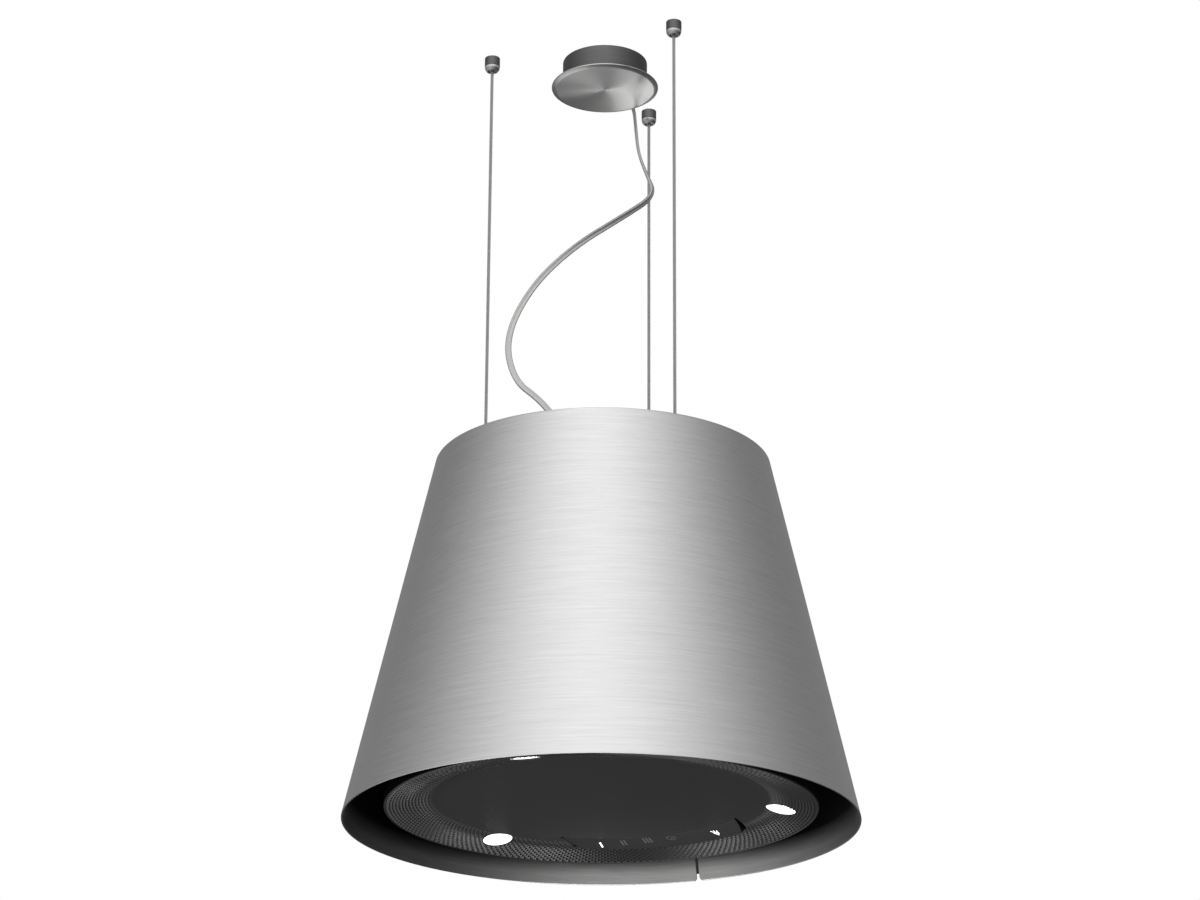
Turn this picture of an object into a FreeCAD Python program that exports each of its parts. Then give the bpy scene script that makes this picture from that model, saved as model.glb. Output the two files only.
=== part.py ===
"""Suspended island range hood: a conical steel shade on three cables, with a fan and filters inside.

Millimetres. The origin is on the hood's axis in the ceiling plane, +Z is up, the user stands
at -Y, and the shell's seam and the touch controls are at +Y. Heights inside the hood are given
over its bottom rim, and level() turns them into Z.
"""
import FreeCAD
import Part
import math
import os

# ---- driving dimensions ------------------------------------------------------------------
RIM_DROP = 817.0           # ceiling plane down to the hood's bottom rim
SHELL_HEIGHT = 364.8
SHELL_BOTTOM_R = 250.0
SHELL_TOP_R = 167.3
SHEET = 1.5                # stainless sheet of the shell, top plate and frame
RUNNING = 0.08             # radial clearance of shafts, pins and the cables in their grippers
GAP = 0.4                  # between pieces that move past each other

CABLE_RING_R = 118.2       # the three suspension cables stand on this circle
CABLE_AZIMUTHS = (90.0, 210.0, 330.0)
LAMP_AZIMUTHS = (30.0, 150.0, 270.0)
CABLE_R = 1.5
CABLE_TAIL_H = 205.0       # free lower end of each cable inside the hood

ANCHOR_R = 7.5
ANCHOR_LENGTH = 16.0
ANCHOR_BORE_R = 5.65
SCREW_HOLE_R = 2.1         # ceiling screws, 4 mm

CUP_R = 44.0
CUP_DEPTH = 26.0
DISC_R = 55.5
DISC_FACE = 30.0           # below the ceiling
STRAP_SPACING = 52.0       # between the bracket's two ceiling screws

CORD_R = 3.2
CORD_EXIT_AZIMUTH = 86.0
CORD_ROUTE = [
    (2.8, 39.9, -9.1),
    (4.6, 65.8, -17.5),
    (5.5, 69.5, -45.0),
    (6.5, 74.0, -71.0),
    (12.5, 79.5, -92.0),
    (21.7, 86.0, -118.0),
    (-5.5, 64.5, -146.0),
    (-46.5, 25.5, -190.5),
    (-79.0, -8.5, -245.0),
    (-95.0, -33.0, -308.0),
    (-84.0, -34.5, -356.5),
    (-58.5, -25.5, -378.5),
    (-43.0, -20.0, -400.5),
    (-15.0, 0.0, -426.0),
    (-15.0, 0.0, -448.0),
]

PANEL_R = 209.5
PANEL_LIP_H = 12.6
PANEL_FLAT_H = 22.5
PANEL_FLAT_R = 165.0
PANEL_SHEET = 2.0
PANEL_LIP_TOP_H = 24.0
WINDOW_INNER_R = 145.0
WINDOW_OUTER_R = 172.0
WINDOW_OUTER_H = 18.0      # the window's face slopes from the panel's flat down to this height
WINDOW_FROM = 56.5         # azimuth of the touch window's two ends at its outer arc
WINDOW_TO = 122.4
WINDOW_FLARE = 8.0          # the ends open by this many degrees towards the middle
WINDOW_DRAFT = 1.9          # degrees by which the face's outer corners stand in from the ends
LAMP_RING_R = 175.0
LAMP_HOLE_R = 15.6
LAMP_LENS_R = 14.6
LAMP_TILT = 12.0

HINGE_Y = 172.0
HINGE_H = 36.0
HINGE_X = 108.0            # half the distance between the panel's two hinges
HINGE_PIN_R = 3.0

GRILLE_H = 343.0
GRILLE_R = 168.5
GLAND_X = -15.0
LOWER_FRAME_H = 76.0
LOWER_FRAME_R = 150.0
FILTER_OPENING_R = 108.0
FILTER_R = 114.0
CASING_R = 108.0
CASING_TOP_H = 246.0
INLET_H = 106.0
INLET_R = 60.0
IMPELLER_R = 88.0
IMPELLER_BOTTOM_H = 112.0
IMPELLER_TOP_H = 168.0
MOTOR_R = 46.0
MOTOR_BOTTOM_H = 178.0
MOTOR_TOP_H = 240.0
SHAFT_R = 4.0
UPRIGHT_R = 112.0          # inner faces of the three uprights
CHARCOAL_R = 92.0

Z_AXIS = FreeCAD.Vector(0, 0, 1)
ORIGIN = FreeCAD.Vector(0, 0, 0)


# ---- small helpers -----------------------------------------------------------------------
def level(height):
    """Z of a height over the bottom rim."""
    return height - RIM_DROP


def cylinder(radius, z_low, z_high, x=0.0, y=0.0):
    return Part.makeCylinder(radius, z_high - z_low, FreeCAD.Vector(x, y, z_low), Z_AXIS)


def tube(outer, inner, z_low, z_high, x=0.0, y=0.0):
    return cylinder(outer, z_low, z_high, x, y).cut(cylinder(inner, z_low - 1, z_high + 1, x, y))


def block(x_low, x_high, y_low, y_high, z_low, z_high):
    corner = FreeCAD.Vector(x_low, y_low, z_low)
    return Part.makeBox(x_high - x_low, y_high - y_low, z_high - z_low, corner)


def revolved(profile):
    """Solid of revolution about Z of a closed outline of (radius, z) points."""
    points = [FreeCAD.Vector(radius, 0, z) for radius, z in profile]
    outline = Part.makePolygon(points + points[:1])
    return Part.Face(outline).revolve(ORIGIN, Z_AXIS, 360)


def extruded(outline, z_low, z_high):
    """Prism on a closed outline of (x, y) points."""
    points = [FreeCAD.Vector(x, y, z_low) for x, y in outline]
    face = Part.Face(Part.makePolygon(points + points[:1]))
    return face.extrude(FreeCAD.Vector(0, 0, z_high - z_low))


def turned(shape, azimuth):
    copy = shape.copy()
    copy.rotate(ORIGIN, Z_AXIS, azimuth)
    return copy


def moved(shape, x, y, z):
    copy = shape.copy()
    copy.translate(FreeCAD.Vector(x, y, z))
    return copy


def mirrored_x(shape):
    return shape.mirror(ORIGIN, FreeCAD.Vector(1, 0, 0))


def polar(radius, azimuth):
    angle = math.radians(azimuth)
    return radius * math.cos(angle), radius * math.sin(angle)


def united(shapes):
    return shapes[0].multiFuse(shapes[1:]).removeSplitter()


def hexagon(across_flats, z_low, z_high, x=0.0, y=0.0):
    corner_r = across_flats / 2 / math.cos(math.pi / 6)
    outline = [(x + corner_r * math.cos(k * math.pi / 3), y + corner_r * math.sin(k * math.pi / 3))
               for k in range(6)]
    return extruded(outline, z_low, z_high)


def save(name, shape):
    """One STEP per piece; a list is a group of identical separate solids."""
    if isinstance(shape, list):
        shape = Part.makeCompound(shape)
    if not shape.isValid() or shape.Volume <= 0:
        raise ValueError(name + " is not a valid solid")
    shape.exportStep("parts/" + name + ".step")
    print(f"{name:24s} {len(shape.Solids):3d} solids {shape.Volume / 1000:9.2f} cm3")


# ---- the shade ---------------------------------------------------------------------------
def shell_r(height):
    """Outer radius of the shell at a height."""
    return SHELL_BOTTOM_R - (SHELL_BOTTOM_R - SHELL_TOP_R) * height / SHELL_HEIGHT


SHELL_LEAN = math.atan((SHELL_BOTTOM_R - SHELL_TOP_R) / SHELL_HEIGHT)
SHELL_WALL = SHEET / math.cos(SHELL_LEAN)


def shell_inner_r(height):
    return shell_r(height) - SHELL_WALL


def cone_band(height_low, height_high, outset, thickness):
    """A conical band that follows the shell, its outer face outset mm outside the shell's outer face."""
    return revolved([
        (shell_r(height_low) + outset, level(height_low)),
        (shell_r(height_high) + outset, level(height_high)),
        (shell_r(height_high) + outset - thickness, level(height_high)),
        (shell_r(height_low) + outset - thickness, level(height_low)),
    ])


SEAM_WIDTH = 3.0
SEAM_END_H = 7.0
NOTCH_CORNER_R = 3.0


def seam_notch():
    """The cutter that opens the seam: a slit that flares in two rounded corners at the rim."""
    half = SEAM_WIDTH / 2
    low = level(0)
    slit = block(-half, half, SHELL_TOP_R - 20, SHELL_BOTTOM_R + 5, low - 1, level(SHELL_HEIGHT) + 1)
    flare = block(-half - NOTCH_CORNER_R, half + NOTCH_CORNER_R, SHELL_TOP_R, SHELL_BOTTOM_R + 5,
                  low - 1, low + NOTCH_CORNER_R)
    for side in (-1, 1):
        rounding = Part.makeCylinder(
            NOTCH_CORNER_R, 120, FreeCAD.Vector(side * (half + NOTCH_CORNER_R), SHELL_TOP_R - 5, low
                                                + NOTCH_CORNER_R), FreeCAD.Vector(0, 1, 0))
        flare = flare.cut(rounding)
    return slit.fuse(flare)


def outer_shell():
    return cone_band(0, SHELL_HEIGHT, 0, SHELL_WALL).cut(seam_notch())


def seam_strip():
    """Elastomer profile that fills the slit, a little thinner than the sheet."""
    half = SEAM_WIDTH / 2
    recess = 0.3
    band = cone_band(SEAM_END_H, SHELL_HEIGHT - 1, -recess, SHELL_WALL - 2 * recess)
    window = block(-half, half, SHELL_TOP_R - 20, SHELL_BOTTOM_R + 5, level(0), level(SHELL_HEIGHT))
    return band.common(window)


# ---- top plate and its ring --------------------------------------------------------------
RING_SEAT_R = 154.0
GRILLE_SCREW_R = 161.5
GRILLE_SCREW_AZIMUTHS = (0.0, 60.0, 120.0, 180.0, 240.0, 300.0)
GRIPPER_SHANK_R = 5.0
UPRIGHT_WIDTH = 24.0
UPRIGHT_DEPTH = 14.0
FOOT_SCREW_R = UPRIGHT_R + 8.0


def top_ring():
    """Ring welded into the shell: a conical band with an inward ledge for the top plate."""
    seat = GRILLE_H
    drop = 14.0
    ring = revolved([
        (shell_inner_r(seat) - 0.05, level(seat)),
        (RING_SEAT_R, level(seat)),
        (RING_SEAT_R, level(seat - SHEET)),
        (shell_inner_r(seat - SHEET) - 0.05 - SHEET, level(seat - SHEET)),
        (shell_inner_r(seat - drop) - 0.05 - SHEET, level(seat - drop)),
        (shell_inner_r(seat - drop) - 0.05, level(seat - drop)),
    ])
    for azimuth in GRILLE_SCREW_AZIMUTHS:
        x, y = polar(GRILLE_SCREW_R, azimuth)
        ring = ring.cut(cylinder(2.05, level(seat - 3), level(seat + 1), x, y))
    return ring


def radial_slot(r_inner, r_outer, width, azimuth):
    """A round-ended radial slot through the top plate."""
    low, high = level(GRILLE_H - 1), level(GRILLE_H + SHEET + 1)
    half = width / 2
    middle = block(r_inner + half, r_outer - half, -half, half, low, high)
    ends = [cylinder(half, low, high, r_inner + half), cylinder(half, low, high, r_outer - half)]
    return turned(united([middle] + ends), azimuth)


SLOT_ROWS = (               # inner radius, outer radius, slot width, number of slots
    (38.0, 66.0, 4.5, 30),
    (73.0, 103.0, 5.0, 48),
    (131.0, 150.0, 6.0, 66),
)


def top_grille():
    plate = cylinder(GRILLE_R, level(GRILLE_H), level(GRILLE_H + SHEET))
    slots = [radial_slot(r_inner, r_outer, width, (k + 0.5) * 360.0 / count)
             for r_inner, r_outer, width, count in SLOT_ROWS for k in range(count)]
    low, high = level(GRILLE_H - 1), level(GRILLE_H + SHEET + 1)
    holes = [cylinder(6.1, low, high, GLAND_X)]
    for azimuth in CABLE_AZIMUTHS:
        x, y = polar(CABLE_RING_R, azimuth)
        holes.append(cylinder(GRIPPER_SHANK_R + 0.05, low, high, x, y))
    for azimuth in GRILLE_SCREW_AZIMUTHS:
        x, y = polar(GRILLE_SCREW_R, azimuth)
        holes.append(cylinder(2.2, low, high, x, y))
    for azimuth in LAMP_AZIMUTHS:
        x, y = polar(FOOT_SCREW_R, azimuth)
        holes.append(cylinder(2.2, low, high, x, y))
    return plate.cut(slots).cut(holes)


def pan_screw(x, y, z_seat, length, points_down=True):
    """M4 pan-head screw with a cross slot; its head stands on z_seat."""
    way = -1 if points_down else 1
    axis = FreeCAD.Vector(0, 0, way)
    shank = Part.makeCylinder(2.0, length, FreeCAD.Vector(x, y, z_seat), axis)
    head = Part.makeCylinder(3.8, 2.4, FreeCAD.Vector(x, y, z_seat), axis * -1)
    head = head.makeFillet(0.8, [e for e in head.Edges if abs(e.BoundBox.ZMin - (z_seat - way * 2.4)) < 1e-6
                                 and e.BoundBox.ZLength < 1e-6])
    screw = shank.fuse(head)
    top = z_seat - way * 2.4
    for long_x, long_y in ((2.2, 0.4), (0.4, 2.2)):
        screw = screw.cut(block(x - long_x, x + long_x, y - long_y, y + long_y, top - 1.2, top + 1.2))
    return screw


# ---- cable grippers ----------------------------------------------------------------------
GRIPPER_R = 8.0
GRIPPER_TOP_H = 363.0
GRIPPER_POCKET_H = 351.0
PLUNGER_R = 3.3
PLUNGER_TRAVEL = 3.0


def gripper_body():
    """Turned housing through the top plate; the cable runs through its small bore."""
    plate_top = GRILLE_H + SHEET
    body = revolved([
        (0, level(331)), (GRIPPER_SHANK_R, level(331)), (GRIPPER_SHANK_R, level(plate_top)),
        (GRIPPER_R, level(plate_top)), (GRIPPER_R, level(GRIPPER_TOP_H - 1)),
        (GRIPPER_R - 1, level(GRIPPER_TOP_H)), (0, level(GRIPPER_TOP_H)),
    ])
    body = body.cut(cylinder(CABLE_R + RUNNING, level(330), level(370)))
    return body.cut(cylinder(PLUNGER_R + RUNNING, level(GRIPPER_POCKET_H), level(370)))


def gripper_nut():
    nut = hexagon(15.0, level(GRILLE_H - 6), level(GRILLE_H))
    return nut.cut(cylinder(GRIPPER_SHANK_R + 0.02, level(GRILLE_H - 7), level(GRILLE_H + 1)))


def gripper_plunger():
    """Release sleeve round the cable, with a finger flange on top."""
    flange_low = GRIPPER_TOP_H + PLUNGER_TRAVEL + 1.0
    sleeve_low = GRIPPER_POCKET_H + PLUNGER_TRAVEL + 1.0
    sleeve = revolved([
        (0, level(sleeve_low)), (PLUNGER_R, level(sleeve_low)), (PLUNGER_R, level(flange_low)),
        (5.4, level(flange_low)), (5.4, level(flange_low + 2)),
        (4.6, level(flange_low + 2.8)), (0, level(flange_low + 2.8)),
    ])
    return sleeve.cut(cylinder(CABLE_R + GAP, level(GRIPPER_POCKET_H), level(flange_low + 5)))


# ---- ceiling pieces ----------------------------------------------------------------------
def anchor_base():
    """Threaded plug screwed to the ceiling through a countersunk hole."""
    base = revolved([(SCREW_HOLE_R, 0), (ANCHOR_BORE_R - 0.05, 0), (ANCHOR_BORE_R - 0.05, -9), (4.4, -9),
                     (SCREW_HOLE_R, -6.6)])
    return base


def anchor_cap():
    """Turned cap over the base, with a rounded lip and a recess round the cable's nipple."""
    top, web_top, web_low, low = -0.6, -11.5, -13.5, -ANCHOR_LENGTH
    lip = 2.6
    corner = math.sqrt(0.5) * lip
    outline = [
        Part.LineSegment(FreeCAD.Vector(ANCHOR_BORE_R, 0, top), FreeCAD.Vector(ANCHOR_R, 0, top)),
        Part.LineSegment(FreeCAD.Vector(ANCHOR_R, 0, top), FreeCAD.Vector(ANCHOR_R, 0, low + lip)),
        Part.Arc(FreeCAD.Vector(ANCHOR_R, 0, low + lip),
                 FreeCAD.Vector(ANCHOR_R - lip + corner, 0, low + lip - corner),
                 FreeCAD.Vector(ANCHOR_R - lip, 0, low)),
        Part.LineSegment(FreeCAD.Vector(ANCHOR_R - lip, 0, low), FreeCAD.Vector(3.4, 0, web_low)),
        Part.LineSegment(FreeCAD.Vector(3.4, 0, web_low), FreeCAD.Vector(2.45, 0, web_low)),
        Part.LineSegment(FreeCAD.Vector(2.45, 0, web_low), FreeCAD.Vector(2.45, 0, web_top)),
        Part.LineSegment(FreeCAD.Vector(2.45, 0, web_top), FreeCAD.Vector(ANCHOR_BORE_R, 0, web_top)),
        Part.LineSegment(FreeCAD.Vector(ANCHOR_BORE_R, 0, web_top), FreeCAD.Vector(ANCHOR_BORE_R, 0, top)),
    ]
    wire = Part.Wire([edge.toShape() for edge in outline])
    return Part.Face(wire).revolve(ORIGIN, Z_AXIS, 360)


FERRULE_LOW = -15.2


def cable_ferrule():
    """Nipple swaged on the cable's end; its head rests on the cap's web."""
    bore = CABLE_R + 0.02
    return revolved([(bore, FERRULE_LOW), (2.35, FERRULE_LOW), (2.35, -11.45), (3.6, -11.45), (3.6, -9.6),
                     (0, -9.6), (0, -10.4), (bore, -10.4)])


def suspension_cable():
    return cylinder(CABLE_R, level(CABLE_TAIL_H), -10.45)


def canopy_bracket():
    """Steel strap on the ceiling with a stud in its middle that holds the cup and the disc."""
    strap = block(-37, 37, -9, 9, -SHEET, 0)
    for side in (-1, 1):
        strap = strap.cut(cylinder(SCREW_HOLE_R, -5, 5, side * STRAP_SPACING / 2))
    stud = cylinder(3.0, -28.2, -SHEET / 2)
    collar = cylinder(5.5, -4.5, -SHEET)
    return united([strap, stud, collar])


def cord_line():
    """Start point and unit direction of the cord's straight exit from the cup."""
    start, corner = FreeCAD.Vector(*CORD_ROUTE[0]), FreeCAD.Vector(*CORD_ROUTE[1])
    return start, (corner - start).normalize()


def canopy_cup():
    cup = revolved([(3.2, -CUP_DEPTH), (CUP_R - 1, -CUP_DEPTH), (CUP_R, -CUP_DEPTH + 1), (CUP_R, 0),
                    (CUP_R - SHEET, 0), (CUP_R - SHEET, -CUP_DEPTH + SHEET), (3.2, -CUP_DEPTH + SHEET)])
    start, along = cord_line()
    return cup.cut(Part.makeCylinder(4.7, 30, start - along * 5, along))


def canopy_disc():
    """Shallow pan with a rolled edge and a threaded boss that screws on the bracket's stud."""
    face, edge, sheet = -DISC_FACE, -27.2, 1.2
    pan = revolved([
        (0, face), (DISC_R - 4.0, face), (DISC_R - 1.2, face + 0.5), (DISC_R, face + 1.6), (DISC_R, edge),
        (DISC_R - sheet, edge), (DISC_R - sheet, face + 2.0), (DISC_R - 2.0, face + 1.6),
        (DISC_R - 4.0, face + sheet), (0, face + sheet),
    ])
    boss = cylinder(9.0, face + sheet / 2, -CUP_DEPTH).cut(cylinder(3.05, -28.3, -20))
    return pan.fuse(boss).removeSplitter()


def cup_grommet():
    """Rubber bush in the cup's wall; the cord passes through it."""
    start, along = cord_line()
    wall = start + along * 3.2
    sleeve = Part.makeCylinder(4.65, 5.0, wall - along * 2.2, along)
    outer_flange = Part.makeCylinder(6.6, 2.0, wall + along * 2.2, along)
    neck = Part.makeCone(5.6, 4.2, 5.0, wall + along * 4.2, along)
    bush = united([sleeve, outer_flange, neck])
    bush = bush.cut(Part.makeCylinder(CORD_R + 0.03, 30, start - along * 5, along))
    return bush.cut(cylinder(CUP_R, -CUP_DEPTH - 5, 5).cut(cylinder(CUP_R - SHEET, -CUP_DEPTH - 6, 6)).cut(
        Part.makeCylinder(4.7, 30, start - along * 5, along)))


def cord_clamp():
    """Two-screw clamp inside the cup that grips the end of the cord."""
    start, along = cord_line()
    body = block(-8.5, 8.5, -12.6, -0.1, -5.4, 5.4)
    for side in (-1, 1):
        body = body.cut(cylinder(1.5, -7, 7, side * 5.8, -6))
    body.rotate(ORIGIN, FreeCAD.Vector(1, 0, 0), -math.degrees(math.asin(-along.z)))
    body.rotate(ORIGIN, Z_AXIS, math.degrees(math.atan2(along.y, along.x)) - 90)
    body.translate(start)
    floor = block(-60, 60, -60, 60, -40, -CUP_DEPTH + SHEET)
    return body.cut(floor)


def terminal_block():
    """Three-way screw terminal on the strap's front side."""
    body = block(-18, 18, -31, -14, -22.5, -9)
    for k in (-1, 0, 1):
        body = body.cut(cylinder(2.6, -24, -14, k * 11, -22.5))
        way = Part.makeCylinder(2.0, 20, FreeCAD.Vector(k * 11, -32, -13), FreeCAD.Vector(0, 1, 0))
        body = body.cut(way)
    return body


def cord_path(route):
    """Straight runs joined by tangent arcs, each as large as its two runs allow."""
    points = [FreeCAD.Vector(*p) for p in route]
    edges, last, radii = [], points[0], []
    for before, corner, after in zip(points, points[1:], points[2:]):
        into, out = (before - corner), (after - corner)
        leg = 0.45 * min(into.Length, out.Length)
        half_turn = (math.pi - into.getAngle(out)) / 2
        radii.append(leg / math.tan(half_turn))
        start, end = corner + into.normalize() * leg, corner + out.normalize() * leg
        to_centre = (into + out).normalize()
        centre = corner + to_centre * (radii[-1] / math.cos(half_turn))
        edges.append(Part.LineSegment(last, start))
        edges.append(Part.Arc(start, centre - to_centre * radii[-1], end))
        last = end
    edges.append(Part.LineSegment(last, points[-1]))
    return Part.Wire([edge.toShape() for edge in edges]), radii


def swept_cord(route, radius, label):
    """A round cord along the route; says how long it is, its arcs and how well its volume fits."""
    wire, radii = cord_path(route)
    start, second = FreeCAD.Vector(*route[0]), FreeCAD.Vector(*route[1])
    ring = Part.Wire([Part.makeCircle(radius, start, second - start)])
    solid = wire.makePipeShell([ring], True, True)
    expected = math.pi * radius ** 2 * wire.Length
    print(label, f"length {wire.Length:.1f} volume/expected {solid.Volume / expected:.4f} radii",
          [round(r, 1) for r in radii])
    return solid


# ---- power cord entry at the hood --------------------------------------------------------
def cord_gland():
    """Dome gland with a tapered bend relief; the cord ends in its mouth."""
    plate_top = level(GRILLE_H + SHEET)
    mouth = CORD_ROUTE[-1][2]
    body = hexagon(17.0, plate_top, plate_top + 6, GLAND_X)
    thread = cylinder(6.0, level(GRILLE_H - 12), plate_top + 1, GLAND_X)
    dome_base = FreeCAD.Vector(GLAND_X, 0, plate_top + 6)
    dome = Part.makeCone(8.2, 5.2, mouth + 2 - dome_base.z, dome_base, Z_AXIS)
    gland = united([body, thread, dome])
    return gland.cut(cylinder(CORD_R + 0.03, mouth, mouth + 10, GLAND_X))


def gland_nut():
    nut = hexagon(17.0, level(GRILLE_H - 5), level(GRILLE_H), GLAND_X)
    return nut.cut(cylinder(6.02, level(GRILLE_H - 6), level(GRILLE_H + 1), GLAND_X))


# ---- frame -------------------------------------------------------------------------------
def frame_upright():
    """Channel from the lower frame up to the top plate, with a foot at each end (azimuth 0)."""
    low, high = level(LOWER_FRAME_H + 2 * SHEET), level(GRILLE_H)
    half, depth = UPRIGHT_WIDTH / 2, UPRIGHT_DEPTH
    channel = block(UPRIGHT_R, UPRIGHT_R + depth, -half, half, low, high)
    channel = channel.cut(block(UPRIGHT_R - 1, UPRIGHT_R + depth - SHEET, -half + SHEET, half - SHEET,
                                low + SHEET, high - SHEET))
    holes = [cylinder(2.05, end - 5, end + 5, FOOT_SCREW_R) for end in (low, high)]
    return channel.cut(holes)


def lower_frame():
    """Round plate that carries the casing, the filter and the panel's hinges."""
    low, high = level(LOWER_FRAME_H), level(LOWER_FRAME_H + SHEET)
    plate = united([tube(LOWER_FRAME_R, FILTER_OPENING_R, low, high)] + filter_hooks())
    holes = []
    for azimuth in LAMP_AZIMUTHS:
        x, y = polar(FOOT_SCREW_R, azimuth)
        holes.append(cylinder(2.2, low - 1, high + 1, x, y))
    return plate.cut(holes)


GUIDE_OUTER_H = 104.0


def air_guide():
    """Black funnel that leads the air from the gap round the panel to the filter."""
    outer_r = shell_inner_r(GUIDE_OUTER_H) - 0.5
    inner_r = LOWER_FRAME_R + 0.3
    low = LOWER_FRAME_H
    return revolved([
        (inner_r, level(low)), (inner_r + 6, level(low)), (outer_r, level(GUIDE_OUTER_H)),
        (outer_r - 1.0, level(GUIDE_OUTER_H + 1.2)), (inner_r + 5.6, level(low + 1.2)),
        (inner_r, level(low + 1.2)),
    ])


def screws():
    """All M4 screws: top plate to ring, and uprights to the plate and to the lower frame."""
    group = []
    for azimuth in GRILLE_SCREW_AZIMUTHS:
        x, y = polar(GRILLE_SCREW_R, azimuth)
        group.append(pan_screw(x, y, level(GRILLE_H + SHEET), 8))
    for azimuth in LAMP_AZIMUTHS:
        x, y = polar(FOOT_SCREW_R, azimuth)
        group.append(pan_screw(x, y, level(GRILLE_H + SHEET), 8))
        group.append(pan_screw(x, y, level(LOWER_FRAME_H), 8, points_down=False))
    return group


# ---- blower ------------------------------------------------------------------------------
CASING_WALL = 1.2
CASING_FLANGE_R = 136.0


def blower_casing():
    """Round fan casing, open at the top, with a flange that stands on the lower frame."""
    low, flange_top = level(LOWER_FRAME_H + SHEET), level(LOWER_FRAME_H + 2 * SHEET)
    top = level(CASING_TOP_H)
    casing = revolved([
        (CASING_R - CASING_WALL, low), (CASING_FLANGE_R, low), (CASING_FLANGE_R, flange_top),
        (CASING_R, flange_top), (CASING_R, top), (CASING_R - CASING_WALL, top),
    ])
    for azimuth in LAMP_AZIMUTHS:
        x, y = polar(FOOT_SCREW_R, azimuth)
        casing = casing.cut(cylinder(2.2, low - 1, flange_top + 1, x, y))
    return casing


def inlet_ring():
    """Bell mouth across the casing that leads the air into the impeller, with bayonet hooks below."""
    outer_r = CASING_R - CASING_WALL - 0.05
    mouth_top = level(INLET_H + 13)
    bell = revolved([
        (outer_r, level(INLET_H)), (outer_r, level(INLET_H + 1.2)), (INLET_R + 8, level(INLET_H + 1.2)),
        (INLET_R + 3.4, level(INLET_H + 4)), (INLET_R + 1.2, mouth_top), (INLET_R, mouth_top),
        (INLET_R + 2.0, level(INLET_H + 3.4)), (INLET_R + 7, level(INLET_H)),
    ])
    hooks = []
    for azimuth in (0.0, 120.0, 240.0):
        post = block(CHARCOAL_R + 4.5, CHARCOAL_R + 6.5, -7, 7, level(INLET_H - 9.5), level(INLET_H + 0.2))
        toe = block(CHARCOAL_R + 1.0, CHARCOAL_R + 6.5, -7, 7, level(INLET_H - 11), level(INLET_H - 9.5))
        hooks.append(turned(post.fuse(toe), azimuth))
    return united([bell] + hooks)


def charcoal_cartridge():
    """Activated-charcoal cartridge under the bell mouth, with three bayonet lugs above the hooks."""
    low, high = INLET_H - 18.0, INLET_H - 2.0
    body = revolved([
        (INLET_R - 34, level(low)), (CHARCOAL_R - 2, level(low)), (CHARCOAL_R, level(low + 2)),
        (CHARCOAL_R, level(high)), (INLET_R - 34, level(high)),
    ])
    core = cylinder(INLET_R - 34 + 0.5, level(low + 5), level(low + 7))
    knob = block(-INLET_R + 32, INLET_R - 32, -3, 3, level(low), level(low + 6))
    pieces = [body, core, knob]
    for azimuth in (0.0, 120.0, 240.0):
        lug = block(CHARCOAL_R - 1, CHARCOAL_R + 4.0, -5, 5, level(INLET_H - 9.0), level(INLET_H - 6.5))
        pieces.append(turned(lug, azimuth))
    return united(pieces)


BLADE_COUNT = 9


def impeller():
    """Backward-curved centrifugal wheel: hub plate, blades and a shroud ring."""
    low, high = level(IMPELLER_BOTTOM_H + 9), level(IMPELLER_TOP_H)
    plate = cylinder(IMPELLER_R, high - 2, high)
    hub = cylinder(12.0, high - 26, high + 6)
    shroud = revolved([
        (INLET_R + 3.0, low - 1.2), (INLET_R + 6, low + 0.5), (IMPELLER_R, low + 9.0),
        (IMPELLER_R, low + 10.8), (INLET_R + 5.5, low + 2.3), (INLET_R + 3.0, low + 0.6),
    ])
    inner_x, inner_y = polar(44, 0)
    outer_x, outer_y = polar(IMPELLER_R - 0.5, -52)
    middle_x, middle_y = polar(70, -19)
    wall = 1.6
    outer_arc = Part.Arc(FreeCAD.Vector(inner_x, inner_y, 0), FreeCAD.Vector(middle_x, middle_y, 0),
                         FreeCAD.Vector(outer_x, outer_y, 0)).toShape()
    inner_arc = Part.Arc(FreeCAD.Vector(inner_x - wall, inner_y - wall / 2, 0),
                         FreeCAD.Vector(middle_x - wall, middle_y - wall, 0),
                         FreeCAD.Vector(outer_x - wall * 1.2, outer_y, 0)).toShape()
    ends = [Part.makeLine(arc_a, arc_b) for arc_a, arc_b in (
        (outer_arc.Vertexes[0].Point, inner_arc.Vertexes[0].Point),
        (outer_arc.Vertexes[-1].Point, inner_arc.Vertexes[-1].Point))]
    outline = Part.Wire(Part.__sortEdges__([outer_arc, inner_arc] + ends))
    blade = Part.Face(outline).extrude(FreeCAD.Vector(0, 0, high - 1 - low + 2))
    blade.translate(FreeCAD.Vector(0, 0, low - 2))
    under_shroud = revolved([
        (0, low - 3), (INLET_R + 1.5, low - 3), (INLET_R + 1.5, low + 0.2), (INLET_R + 6, low + 1.5),
        (IMPELLER_R + 5, low + 10.2), (IMPELLER_R + 5, high), (0, high),
    ])
    blade = blade.common(under_shroud)
    blades = [turned(blade, k * 360.0 / BLADE_COUNT) for k in range(BLADE_COUNT)]
    wheel = united([plate, hub, shroud] + blades)
    return wheel.cut(cylinder(SHAFT_R + 0.02, low - 20, high + 20))


def motor_shaft():
    return cylinder(SHAFT_R, level(IMPELLER_TOP_H - 36), level(MOTOR_TOP_H - 12))


def impeller_nut():
    low = level(IMPELLER_TOP_H - 33)
    return hexagon(11.0, low, low + 7).cut(cylinder(SHAFT_R + 0.02, low - 1, low + 8))


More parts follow.
